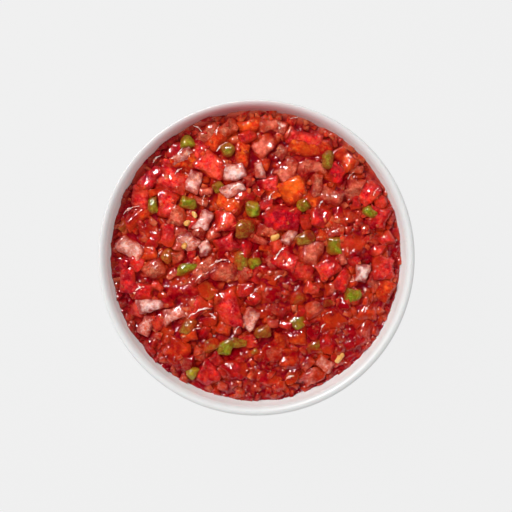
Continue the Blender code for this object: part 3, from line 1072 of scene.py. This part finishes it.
def grain_group():
    """Mottling of wet flesh: broad patches, fine fibres, cells, small bright specks, and relief."""
    found = bpy.data.node_groups.get("Wet flesh grain")
    if found:
        return found
    tree = bpy.data.node_groups.new("Wet flesh grain", "ShaderNodeTree")
    inputs = [
        ("Seat", "NodeSocketFloat", 0.0),
        ("Patch Width", "NodeSocketFloat", 3.0),
        ("Fibre Width", "NodeSocketFloat", 1.5),
        ("Cell Width", "NodeSocketFloat", 1.8),
        ("Speck Width", "NodeSocketFloat", 0.9),
    ]
    marks = ("Patches", "Fibres", "Cells", "Specks", "Height")
    add_group_sockets(tree, inputs, [(mark, "NodeSocketFloat") for mark in marks])
    given = add_node(tree, "NodeGroupInput").outputs
    place = add_node(tree, "ShaderNodeTexCoord").outputs["Object"]
    shift = add_node(tree, "ShaderNodeCombineXYZ", {0: given["Seat"], 1: given["Seat"], 2: 0.0})
    moved = vector_math(tree, "ADD", place, shift.outputs[0])

    def noise_of(width, detail, distortion):
        look = {"Vector": moved, "Roughness": 0.6, "Distortion": distortion}
        return cloud_noise(tree, per_metre(tree, given[width]), detail, **look)

    inputs = {"Vector": moved, "Scale": per_metre(tree, given["Cell Width"]), "Smoothness": 0.6}
    cells = add_node(tree, "ShaderNodeTexVoronoi", inputs, feature="SMOOTH_F1").outputs["Distance"]
    fine = noise_of("Speck Width", 1.0, 0.8)
    folds = noise_of("Fibre Width", 0.0, 0.6)
    outputs = {
        "Patches": remap(tree, noise_of("Patch Width", 2.0, 0.4), 0.35, 0.65),
        "Fibres": remap(tree, noise_of("Fibre Width", 3.0, 1.2), 0.38, 0.64),
        "Cells": remap(tree, cells, 0.3, 0.68),
        "Specks": remap(tree, fine, 0.52, 0.66),
        "Height": calculate(tree, "MULTIPLY_ADD", folds, 1.2, calculate(tree, "MULTIPLY", fine, 0.5)),
    }
    add_node(tree, "NodeGroupOutput", outputs)
    return tree


def juice_group():
    """Where juice lies on a piece: up its sides, in from its outline, and in thin patches on top.

    It puts out how much juice covers each place, and how much of that juice is the lighter broth.
    """
    found = bpy.data.node_groups.get("Juice film")
    if found:
        return found
    tree = bpy.data.node_groups.new("Juice film", "ShaderNodeTree")
    inputs = [
        ("Sunk", "NodeSocketFloat", 0.0),
        ("Edge", "NodeSocketFloat", 0.0),
        ("Edge Film", "NodeSocketFloat", 0.6),
        ("Film", "NodeSocketFloat", 0.3),
        ("Film Width", "NodeSocketFloat", 4.0),
    ]
    add_group_sockets(tree, inputs, [("Mask", "NodeSocketFloat"), ("Broth", "NodeSocketFloat")])
    given = add_node(tree, "NodeGroupInput").outputs

    def cloud(width):
        return cloud_noise(tree, per_metre(tree, width), 3.0)

    film = calculate(tree, "MAXIMUM", given["Film"], 0.0)
    film = calculate(tree, "MULTIPLY", remap(tree, cloud(given["Film Width"]), 0.3, 0.66), film)
    film = calculate(tree, "MINIMUM", film, 1.0)
    creep = calculate(tree, "MULTIPLY_ADD", remap(tree, cloud(1.6), 0.3, 0.7), 0.9, -0.45)
    edge = remap(tree, calculate(tree, "ADD", given["Edge"], creep), 0.15, 1.0)
    edge = calculate(tree, "MULTIPLY", edge, given["Edge Film"])
    clear = calculate(tree, "SUBTRACT", 1.0, given["Sunk"])
    for cover in (film, edge):
        clear = calculate(tree, "MULTIPLY", clear, calculate(tree, "SUBTRACT", 1.0, cover))
    mask = calculate(tree, "SUBTRACT", 1.0, clear)
    add_node(tree, "NodeGroupOutput", {"Mask": mask, "Broth": remap(tree, cloud(6.0), 0.42, 0.6)})
    return tree


def read_number(tree, name):
    """The number that the mesh stores for each point under a name."""
    return add_node(tree, "ShaderNodeAttribute", attribute_name=name).outputs["Fac"]


def new_material(name):
    """An empty material with an output and a Principled shader, and its node tree."""
    material = bpy.data.materials.new(name)
    material.use_nodes = True
    tree = material.node_tree
    return material, tree, tree.nodes["Principled BSDF"]


def set_sockets(shader, **values):
    """Sets the shader's own sockets, named with underscores for spaces."""
    for name, value in values.items():
        shader.inputs[name.replace("_", " ")].default_value = value


@dataclass
class Flesh:
    """How one kind of cut flesh looks: its shades, its pale and dark tones, and how strongly each mark shows.

    Shades drift within a piece. Juice films it, and the later shades more where muted is above 0. Marks are
    fainter on the first shades where calm is above 0.
    """

    shades: tuple
    pale: tuple
    dark: tuple = JUICE
    pale_share: float = 0.4
    dark_share: float = 0.4
    speck_share: float = 0.45
    drift: float = 1.0
    film: float = 0.3
    muted: float = 0.0
    edge_film: float = 0.85
    bump: float = 0.6
    calm: float = 0.0


def wet_material(name, flesh):
    """Wet diced flesh: its shade by piece, mottled, with juice over it and painted shadow near the wall,
    under a thin glossy film.
    """
    material, tree, shader = new_material(name)
    tint = read_number(tree, "tint")
    seat = {"Seat": read_number(tree, "seat")}
    grain = add_node(tree, "ShaderNodeGroup", seat, node_tree=grain_group()).outputs
    start = calculate(tree, "ADD", tint, -flesh.drift / 2)
    still = calculate(tree, "MULTIPLY_ADD", tint, flesh.muted, flesh.film)
    color = ramp(tree, calculate(tree, "MULTIPLY_ADD", grain["Patches"], flesh.drift, start), flesh.shades)
    marks = (
        ("Fibres", flesh.pale_share, flesh.pale),
        ("Cells", flesh.dark_share, flesh.dark),
        ("Specks", flesh.speck_share, flesh.pale),
    )
    quiet = remap(tree, tint, 0.1, 0.5, 1 - flesh.calm, 1.0)
    for mark, share, tone in marks:
        share = calculate(tree, "MULTIPLY", quiet, share)
        color = mix_colors(tree, calculate(tree, "MULTIPLY", grain[mark], share), color, paint(tone))
    inputs = {
        "Sunk": read_number(tree, "sunk"),
        "Edge": read_number(tree, "edge"),
        "Edge Film": flesh.edge_film,
        "Film": calculate(tree, "ADD", read_number(tree, "pool"), still),
    }
    film = add_node(tree, "ShaderNodeGroup", inputs, node_tree=juice_group()).outputs
    wet = mix_colors(tree, film["Broth"], paint(JUICE), paint(BROTH))
    color = mix_colors(tree, film["Mask"], color, wet)
    # Painted shadow of the wall, darkening the pieces near it
    shadow = calculate(tree, "MULTIPLY", read_number(tree, "wall"), 0.8)
    plug(tree, shader.inputs["Base Color"], mix_colors(tree, shadow, color, paint(SHADE_AND_DEEP_JUICE)))
    inputs = {"Strength": flesh.bump, "Distance": 0.4 * MM, "Height": grain["Height"]}
    plug(tree, shader.inputs["Normal"], add_node(tree, "ShaderNodeBump", inputs).outputs[0])
    set_sockets(
        shader,
        Roughness=0.09,
        Coat_Weight=0.4,
        Coat_Roughness=0.05,
        Subsurface_Weight=0.4,
        Subsurface_Radius=(1.0, 0.25, 0.15),
        Subsurface_Scale=1.4 * MM,
    )
    return material


def painted_glint_material():
    """Painted highlight shaped as thin wet onion skin: nearly white, with red juice showing through in
    places.
    """
    material, tree, shader = new_material("Painted glint sliver")
    share = remap(tree, cloud_noise(tree, 700.0, 1.0), 0.45, 0.7)
    # Near-white painted highlight, with red juice in places
    color = mix_colors(tree, share, paint((255, 226, 218)), paint((238, 120, 96)))
    plug(tree, shader.inputs["Base Color"], color)
    set_sockets(shader, Roughness=0.1, Coat_Weight=0.3, Coat_Roughness=0.05, Subsurface_Weight=0.2)
    set_sockets(shader, Subsurface_Radius=(1.0, 0.4, 0.3), Subsurface_Scale=0.6 * MM)
    return material


def glaze_material():
    """White glaze: uneven in tone and polish, with painted shade over the lip's top and painted reddish shade
    above the fill.
    """
    material, tree, shader = new_material("White glaze")
    cloud = cloud_noise(tree, 60.0, 2.0)
    color = mix_colors(tree, cloud, paint((242, 242, 240)), paint((247, 247, 245)))
    # Painted shade over the lip's top, stored as thin
    color = mix_colors(tree, read_number(tree, "thin"), color, paint(PAINTED_LIP_SHADE_COLOR))
    # Painted reddish shade on the glaze above the fill
    color = mix_colors(tree, read_number(tree, "tint"), color, paint(PAINTED_GLAZE_SHADE_COLOR))
    plug(tree, shader.inputs["Base Color"], color)
    plug(tree, shader.inputs["Roughness"], remap(tree, cloud, 0.3, 0.7, 0.36, 0.46))
    inputs = {"Strength": 0.15, "Distance": 0.1 * MM, "Height": cloud_noise(tree, 160.0, 1.0)}
    plug(tree, shader.inputs["Normal"], add_node(tree, "ShaderNodeBump", inputs).outputs[0])
    set_sockets(shader, Coat_Weight=0.1, Coat_Roughness=0.3, Subsurface_Weight=0.05, Subsurface_Scale=2 * MM)
    return material


def pulp_material(settings):
    """Pulp and juice between the pieces: mottled red with fine fibres, with painted shade where it lies deep
    between the pieces and painted shadow along the wall, and darker where juice pools.
    """
    material, tree, shader = new_material("Pulp and juice")
    widths = {"Patch Width": 5.0, "Fibre Width": 1.2}
    grain = add_node(tree, "ShaderNodeGroup", widths, node_tree=grain_group()).outputs
    fibres = calculate(tree, "MULTIPLY", grain["Fibres"], 0.4)
    share = calculate(tree, "MULTIPLY_ADD", grain["Patches"], 0.6, fibres)
    color = mix_colors(tree, grain["Cells"], ramp(tree, share, PULP_SHADES), (*settings.color, 1))
    # Painted shadow along the wall and painted shade in the hollows, then darker where juice pools
    shadow = calculate(tree, "MAXIMUM", read_number(tree, "wall"), read_number(tree, "deep"))
    shadow = calculate(tree, "MULTIPLY", shadow, 0.6)
    shadow = calculate(tree, "MAXIMUM", shadow, calculate(tree, "MULTIPLY", read_number(tree, "pool"), 0.45))
    color = mix_colors(tree, shadow, color, paint(SHADE_AND_DEEP_JUICE))
    color = mix_colors(tree, read_number(tree, "thin"), color, paint(FILM_SHADE))
    plug(tree, shader.inputs["Base Color"], color)
    inputs = {"Strength": 0.5, "Distance": 0.3 * MM, "Height": grain["Height"]}
    plug(tree, shader.inputs["Normal"], add_node(tree, "ShaderNodeBump", inputs).outputs[0])
    set_sockets(
        shader,
        Roughness=0.14,
        Coat_Weight=0.4,
        Coat_Roughness=0.05,
        Subsurface_Weight=0.25,
        Subsurface_Radius=(1.0, 0.15, 0.1),
        Subsurface_Scale=1.2 * MM,
    )
    return material


def floor_material(color):
    """A pale sweep that is lit evenly and takes only a faint shadow."""
    material, _, shader = new_material("Pale sweep")
    own_light = 0.97
    set_sockets(shader, Base_Color=(*[c * (1 - own_light) for c in color], 1), Roughness=0.9)
    set_sockets(shader, Specular_IOR_Level=0.0, Emission_Color=(*color, 1), Emission_Strength=own_light)
    return material


# Scattered small things


def modifier_input(modifier, name, value):
    """Sets one named input of a Geometry Nodes modifier."""
    for socket in modifier.node_group.interface.items_tree:
        if socket.name == name and socket.in_out == "INPUT":
            modifier[socket.identifier] = value


def scatter_tree():
    """Scatters small uneven bits over the upward faces of a surface and leaves them as one mesh."""
    found = bpy.data.node_groups.get("Scatter of small bits")
    if found:
        return found
    tree = bpy.data.node_groups.new("Scatter of small bits", "GeometryNodeTree")
    inputs = [
        ("Geometry", "NodeSocketGeometry", None),
        ("Density", "NodeSocketFloat", 1.0),
        ("Spacing", "NodeSocketFloat", 1 * MM),
        ("Smallest", "NodeSocketVector", (1 * MM,) * 3),
        ("Largest", "NodeSocketVector", (2 * MM,) * 3),
        ("Cuts", "NodeSocketInt", 3),
        ("Roundness", "NodeSocketFloat", 0.5),
        ("Unevenness", "NodeSocketFloat", 0.3 * MM),
        ("Unevenness Width", "NodeSocketFloat", 1 * MM),
        ("Tilt", "NodeSocketFloat", 0.3),
        ("Seed", "NodeSocketInt", 0),
        ("Material", "NodeSocketMaterial", None),
    ]
    add_group_sockets(tree, inputs, [("Geometry", "NodeSocketGeometry")])
    given = add_node(tree, "NodeGroupInput").outputs
    normal = add_node(tree, "GeometryNodeInputNormal").outputs[0]
    up = add_node(tree, "ShaderNodeSeparateXYZ", {0: normal}).outputs[2]
    facing = add_node(tree, "FunctionNodeCompare", {0: up, 1: 0.6}, operation="GREATER_THAN").outputs[0]
    inputs = {
        "Mesh": given["Geometry"],
        "Selection": facing,
        "Distance Min": given["Spacing"],
        "Density Max": given["Density"],
        "Seed": given["Seed"],
    }
    spots = add_node(tree, "GeometryNodeDistributePointsOnFaces", inputs, distribute_method="POISSON")
    points = spots.outputs["Points"]

    def draw(low, high, step, kind="FLOAT_VECTOR"):
        """A random value between two others, by the seed and a step of its own."""
        node = add_node(tree, "FunctionNodeRandomValue", data_type=kind)
        live = [s for s in node.inputs if s.enabled and s.name in ("Min", "Max")]
        plug(tree, live[0], low)
        plug(tree, live[1], high)
        plug(tree, node.inputs["Seed"], calculate(tree, "ADD", given["Seed"], float(step)))
        return next(s for s in node.outputs if s.enabled)

    lean = given["Tilt"]
    other_lean = calculate(tree, "MULTIPLY", lean, -1.0)
    lowest = add_node(tree, "ShaderNodeCombineXYZ", {0: other_lean, 1: other_lean, 2: 0.0})
    highest = add_node(tree, "ShaderNodeCombineXYZ", {0: lean, 1: lean, 2: math.tau})
    turn = draw(lowest.outputs[0], highest.outputs[0], 11)
    size = draw(given["Smallest"], given["Largest"], 23)
    cuts = {f"Vertices {axis}": given["Cuts"] for axis in "XYZ"}
    cube = add_node(tree, "GeometryNodeMeshCube", {"Size": (1, 1, 1), **cuts}).outputs["Mesh"]
    place = add_node(tree, "GeometryNodeInputPosition").outputs[0]
    ball = add_node(tree, "ShaderNodeVectorMath", {0: place}, operation="NORMALIZE").outputs[0]
    ball = vector_math(tree, "SCALE", ball, 0.58)
    ends = {0: given["Roundness"], 4: place, 5: ball}
    rounded = add_node(tree, "ShaderNodeMix", ends, data_type="VECTOR").outputs[1]
    cube = add_node(tree, "GeometryNodeSetPosition", {"Geometry": cube, "Position": rounded}).outputs[0]
    inputs = {"Points": points, "Instance": cube, "Rotation": turn, "Scale": size}
    instances = add_node(tree, "GeometryNodeInstanceOnPoints", inputs).outputs[0]
    shade = draw(0.0, 1.0, 37, "FLOAT")
    for name in ("tint", "seat"):
        inputs = {"Geometry": instances, "Name": name, "Value": shade}
        kind = {"data_type": "FLOAT", "domain": "INSTANCE"}
        instances = add_node(tree, "GeometryNodeStoreNamedAttribute", inputs, **kind).outputs[0]
    made = add_node(tree, "GeometryNodeRealizeInstances", {"Geometry": instances}).outputs[0]
    scale = calculate(tree, "DIVIDE", 1.0, given["Unevenness Width"])
    inputs = {"Vector": place, "Scale": scale, "Detail": 1.0}
    bumps = add_node(tree, "ShaderNodeTexNoise", inputs).outputs["Color"]
    centred = vector_math(tree, "SUBTRACT", bumps, (0.5, 0.5, 0.5))
    shift = vector_math(tree, "SCALE", centred, given["Unevenness"])
    made = add_node(tree, "GeometryNodeSetPosition", {"Geometry": made, "Offset": shift}).outputs[0]
    made = add_node(tree, "GeometryNodeSetShadeSmooth", {"Geometry": made}).outputs[0]
    inputs = {"Geometry": made, "Material": given["Material"]}
    made = add_node(tree, "GeometryNodeSetMaterial", inputs).outputs[0]
    add_node(tree, "NodeGroupOutput", {"Geometry": made})
    return tree


def joined_mesh(names):
    """One mesh with the faces of the pieces with these names."""
    shell = bmesh.new()
    for name in names:
        shell.from_mesh(bpy.data.objects[name].data)
    mesh = bpy.data.meshes.new("ground")
    shell.to_mesh(mesh)
    shell.free()
    return mesh


def scattered_mesh(name, ground, inputs):
    """The plain mesh that the scatter makes over the top of a mesh."""
    host = new_object("ground", ground)
    modifier = host.modifiers.new("Scatter", "NODES")
    modifier.node_group = scatter_tree()
    for key, value in inputs.items():
        modifier_input(modifier, key, value)
    graph = bpy.context.evaluated_depsgraph_get()
    mesh = bpy.data.meshes.new_from_object(host.evaluated_get(graph))
    mesh.name = name
    host.modifiers.clear()
    bpy.data.objects.remove(host)
    set_values(mesh, "sunk", sunk_share(points_of(mesh), 0.5 * MM))
    return mesh


def tube_faces(rings, sides, start):
    """Faces of a closed tube whose rings and two end points are numbered in order from a start."""
    faces = []
    last = start + rings * sides
    for k in range(sides):
        after = (k + 1) % sides
        for ring in range(rings - 1):
            low, high = start + ring * sides, start + (ring + 1) * sides
            faces.append((low + k, low + after, high + after, high + k))
        faces.append((last, start + after, start + k))
        faces.append((last + 1, last - sides + k, last - sides + after))
    return faces


def sliver_mesh(ground):
    """Thin bent slivers, each laid over whatever lies highest below it."""
    shell = bmesh.new()
    shell.from_mesh(ground)
    below = BVHTree.FromBMesh(shell)
    shell.free()
    rings, sides = 15, 6
    points, faces = [], []
    for x, y, length, turn in GLINT_SLIVERS:
        along = spread(-0.5, 0.5, rings)
        forward = Vector((math.cos(math.radians(turn)), math.sin(math.radians(turn)), 0))
        sideways = Vector((-forward.y, forward.x, 0))
        middle = Vector((x * MM, y * MM, BOWL_HEIGHT))
        spine = []
        for share in along:
            waver = 0.06 * noise.noise(Vector((x, y, share * 5)))
            bend = length * MM * (0.12 * (1 - 4 * share * share) + waver)
            place = middle + forward * share * length * MM + sideways * bend
            found = below.ray_cast(place, Vector((0, 0, -1)))[0]
            spine.append(found or place - Vector((0, 0, FILL_DEPTH)))
        heights = np.array([p.z for p in spine])
        padded = np.pad(heights, 2, mode="edge")
        heights = np.maximum(heights, np.convolve(padded, np.ones(5) / 5, mode="valid"))
        start = len(points)
        for share, place, height in zip(along, spine, heights):
            uneven = max(0.85 + 1.5 * noise.noise(Vector((y, x, share * 6))), 0.25)
            thick = SLIVER_WIDTH / 2 * uneven * math.sqrt(max(1 - (2 * share) ** 2, 0.04))
            for k in range(sides):
                around = math.tau * k / sides
                offset = sideways * thick * math.cos(around) + Vector((0, 0, thick * 0.6 * math.sin(around)))
                points.append(Vector((place.x, place.y, height)) + offset)
        points += [Vector((p.x, p.y, h)) for p, h in ((spine[0], heights[0]), (spine[-1], heights[-1]))]
        faces += tube_faces(rings, sides, start)
    mesh = bpy.data.meshes.new("slivers")
    mesh.from_pydata(points, [], faces)
    mesh.shade_smooth()
    return mesh


# Operators


def finish_piece(name, mesh, material):
    """Makes a mesh with one material a piece of the object, riding on its one body."""
    mesh.materials.clear()
    mesh.materials.append(material)
    obj = new_object(name, mesh)
    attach(obj, ROOT)
    return obj


class SALSA_OT_bowl(bpy.types.Operator):
    """Turns the bowl and glazes it white"""

    bl_idname = "salsa.bowl"
    bl_label = "Bowl"

    def execute(self, context):
        mesh = turned_mesh("bowl_glazed", bowl_profile(), BOWL_STEPS)
        uneven_lip(mesh)
        # Painted reddish shade on the glaze above the fill, stored as tint
        set_values(mesh, "tint", painted_glaze_shade(points_of(mesh)))
        # Painted shade over the lip's top, stored as thin
        set_values(mesh, "thin", painted_lip_shade(points_of(mesh)))
        mesh.shade_smooth()
        obj = finish_piece("bowl_glazed", mesh, glaze_material())
        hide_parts("bowl")
        return {"FINISHED"}


class SALSA_OT_pulp(bpy.types.Operator):
    """Fills the bowl with pulp and juice"""

    bl_idname = "salsa.pulp"
    bl_label = "Pulp and juice"

    def execute(self, context):
        settings = context.scene.salsa_pulp
        obj = finish_piece("pulp", pulp_mesh(settings), pulp_material(settings))
        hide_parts("salsa")
        return {"FINISHED"}


class SALSA_OT_dice(bpy.types.Operator):
    """Lays the diced tomato, onion and pepper on the pulp"""

    bl_idname = "salsa.dice"
    bl_label = "Diced vegetables"

    def execute(self, context):
        looks = {
            "red_tomato": {"pale": (252, 104, 96), "pale_share": 0.35, "calm": 0.7},
            "orange_tomato": {"pale": (255, 130, 60)},
            "pale_tomato": {"pale": (252, 158, 122), "film": 0.25, "muted": 0.2},
            "onion": {
                "pale": (254, 236, 230),
                "dark": (236, 104, 76),
                "dark_share": 0.45,
                "drift": 0.6,
                "film": -0.9,
                "muted": 1.0,
            },
            "green_pepper": {
                "pale": (182, 178, 60),
                "dark": (62, 74, 6),
                "drift": 0.4,
                "film": -1.5,
                "muted": 2.4,
                "edge_film": 0.5,
            },
        }
        for kind, look in looks.items():
            mesh = dice_mesh(kind, [p for p in PIECES if p.kind == kind], context.scene.salsa_dice)
            material = wet_material(f"Wet {kind.replace('_', ' ')}", Flesh(SHADES[kind], **look))
            obj = finish_piece(kind, mesh, material)
            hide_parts("salsa")
        return {"FINISHED"}


class SALSA_OT_bits(bpy.types.Operator):
    """Scatters chopped bits between the diced pieces and small scraps over them"""

    bl_idname = "salsa.bits"
    bl_label = "Chopped bits"

    def execute(self, context):
        flesh = Flesh(BIT_SHADES, BIT_SHADES[-1], pale_share=0.3, edge_film=0.0)
        material = wet_material("Wet chopped bits", flesh)
        grounds = {
            "chopped_bits": (["pulp"], context.scene.salsa_bits),
            "scraps": ([kind for kind in LARGE_PIECES if "tomato" in kind], context.scene.salsa_scraps),
        }
        for name, (ground, settings) in grounds.items():
            inputs = {
                "Density": settings.density,
                "Spacing": settings.spacing,
                "Smallest": (settings.smallest, settings.smallest, settings.smallest * 0.5),
                "Largest": (settings.largest, settings.largest * 0.75, settings.largest * 0.35),
                "Cuts": 3,
                "Roundness": 0.15,
                "Unevenness": 0.35 * settings.largest,
                "Unevenness Width": 0.7 * settings.largest,
                "Tilt": 0.4,
                "Seed": settings.seed,
                "Material": material,
            }
            finish_piece(name, scattered_mesh(name, joined_mesh(ground), inputs), material)
        return {"FINISHED"}


class SALSA_OT_seeds(bpy.types.Operator):
    """Lays the tomato seeds"""

    bl_idname = "salsa.seeds"
    bl_label = "Tomato seeds"

    def execute(self, context):
        flesh = Flesh(SEED_SHADES, SEED_SHADES[-1], dark_share=0.1, film=-0.8, edge_film=0.1, bump=0.15)
        material = wet_material("Tomato seed", flesh)
        mesh = dice_mesh("tomato_seeds", lay_out_seeds(), context.scene.salsa_dice)
        finish_piece("tomato_seeds", mesh, material)
        return {"FINISHED"}


class SALSA_OT_slivers(bpy.types.Operator):
    """Drapes thin near-white slivers, painted highlights shaped as onion skin, over everything that lies on
    top
    """

    bl_idname = "salsa.slivers"
    bl_label = "Slivers"

    def execute(self, context):
        mesh = sliver_mesh(joined_mesh(["pulp", "chopped_bits", *LARGE_PIECES]))
        finish_piece("slivers", mesh, painted_glint_material())
        return {"FINISHED"}


def toward(around, height):
    """Direction to a light, from its bearing anticlockwise from +X and its height, in degrees."""
    bearing, rise = math.radians(around), math.radians(height)
    return Vector((math.cos(bearing) * math.cos(rise), math.sin(bearing) * math.cos(rise), math.sin(rise)))


def add_light(name, place, target, width, power):
    """A round lamp at a place, facing a target."""
    light = bpy.data.lights.new(name, "AREA")
    light.shape = "DISK"
    light.size = width
    light.energy = power
    obj = new_object(name, light)
    obj.location = place
    obj.rotation_euler = (target - place).to_track_quat("-Z", "Y").to_euler()
    return obj


class SALSA_OT_stage(bpy.types.Operator):
    """Sets up the pale sweep, the lights and the camera"""

    bl_idname = "salsa.stage"
    bl_label = "Stage"

    def execute(self, context):
        scene = context.scene
        settings = scene.salsa_stage
        scene.view_settings.view_transform = "Standard"
        self.make_floor(settings)
        scene.world = self.backdrop(settings)
        self.make_lights(settings)
        self.make_camera(scene, settings)
        return {"FINISHED"}

    def make_floor(self, settings):
        """A wide round floor under the bowl."""
        mesh = bpy.data.meshes.new("floor")
        shell = bmesh.new()
        bmesh.ops.create_circle(shell, cap_ends=True, radius=6.0, segments=64)
        shell.to_mesh(mesh)
        shell.free()
        mesh.materials.append(floor_material(settings.floor_color))
        new_object("floor", mesh)

    def backdrop(self, settings):
        """A world that looks like the floor and lights all matt surfaces from all round."""
        world = bpy.data.worlds.new("Backdrop")
        world.use_nodes = True
        tree = world.node_tree
        plain = tree.nodes["Background"]
        plain.inputs["Color"].default_value = (*settings.floor_color, 1)
        soft = add_node(tree, "ShaderNodeBackground", {"Color": (1, 1, 1, 1), "Strength": settings.fill})
        seen = add_node(tree, "ShaderNodeLightPath").outputs["Is Camera Ray"]
        both = add_node(tree, "ShaderNodeMixShader", {0: seen, 1: soft.outputs[0], 2: plain.outputs[0]})
        plug(tree, tree.nodes["World Output"].inputs["Surface"], both.outputs[0])
        world.cycles_visibility.glossy = False
        return world

    def make_lights(self, settings):
        """A broad lamp that shades the matt surfaces, and a small one that only glints off wet ones."""
        rim = Vector((0, 0, BOWL_HEIGHT))
        key_place = rim + toward(*KEY_FROM) * LIGHT_DISTANCE
        glint_place = rim + toward(*GLINT_FROM) * LIGHT_DISTANCE
        key = add_light("key", key_place, rim, settings.key_size, settings.key_power)
        glint = add_light("glint", glint_place, rim, settings.glint_size, settings.glint_power)
        key.visible_glossy = False
        glint.visible_diffuse = False

    def make_camera(self, scene, settings):
        """A camera above the bowl that puts the rim's middle where the photo has it."""
        camera = new_object("camera", bpy.data.cameras.new("camera"))
        scene.camera = camera
        middle = PHOTO_SIDE / 2
        target = Vector(((middle - RIM_PIXEL[0]) * PIXEL, (RIM_PIXEL[1] - middle) * PIXEL, BOWL_HEIGHT))
        lean = Vector((-math.sin(settings.tilt_left), math.sin(settings.tilt_up), 0))
        lean.z = math.sqrt(1 - lean.length_squared)
        camera.location = target + lean * settings.distance
        across = Vector((0, 1, 0)).cross(lean).normalized()
        camera.rotation_euler = Matrix((across, lean.cross(across), lean)).transposed().to_euler()
        camera.data.sensor_width = SENSOR_MM
        camera.data.lens = SENSOR_MM * settings.distance / (PHOTO_SIDE * PIXEL)
        camera.data.clip_start = 10 * MM
        camera.data.clip_end = 20


class SALSA_PT_panel(bpy.types.Panel):
    """Lists the steps that make the bowl of salsa"""

    bl_idname = "SALSA_PT_panel"
    bl_label = "Bowl of salsa"
    bl_space_type = "VIEW_3D"
    bl_region_type = "UI"
    bl_category = "Salsa"

    def draw(self, context):
        for step in STEPS:
            self.layout.operator(step.bl_idname)


STEPS = (
    SALSA_OT_bowl,
    SALSA_OT_pulp,
    SALSA_OT_dice,
    SALSA_OT_bits,
    SALSA_OT_seeds,
    SALSA_OT_slivers,
    SALSA_OT_stage,
)
SETTINGS = {
    "salsa_pulp": SALSA_PG_pulp,
    "salsa_dice": SALSA_PG_dice,
    "salsa_bits": SALSA_PG_bits,
    "salsa_scraps": SALSA_PG_scraps,
    "salsa_stage": SALSA_PG_stage,
}


def register():
    """Adds the settings, the operators and the panel."""
    for cls in (*SETTINGS.values(), *STEPS, SALSA_PT_panel):
        bpy.utils.register_class(cls)
    for name, cls in SETTINGS.items():
        setattr(bpy.types.Scene, name, PointerProperty(type=cls))


def unregister():
    """Takes out what register adds."""
    for name in SETTINGS:
        delattr(bpy.types.Scene, name)
    for cls in reversed((*SETTINGS.values(), *STEPS, SALSA_PT_panel)):
        bpy.utils.unregister_class(cls)


def main():
    """Makes the whole bowl of salsa and its stage, step by step."""
    register()
    for step in STEPS:
        group, name = step.bl_idname.split(".")
        getattr(getattr(bpy.ops, group), name)()


if __name__ == "__main__":
    main()
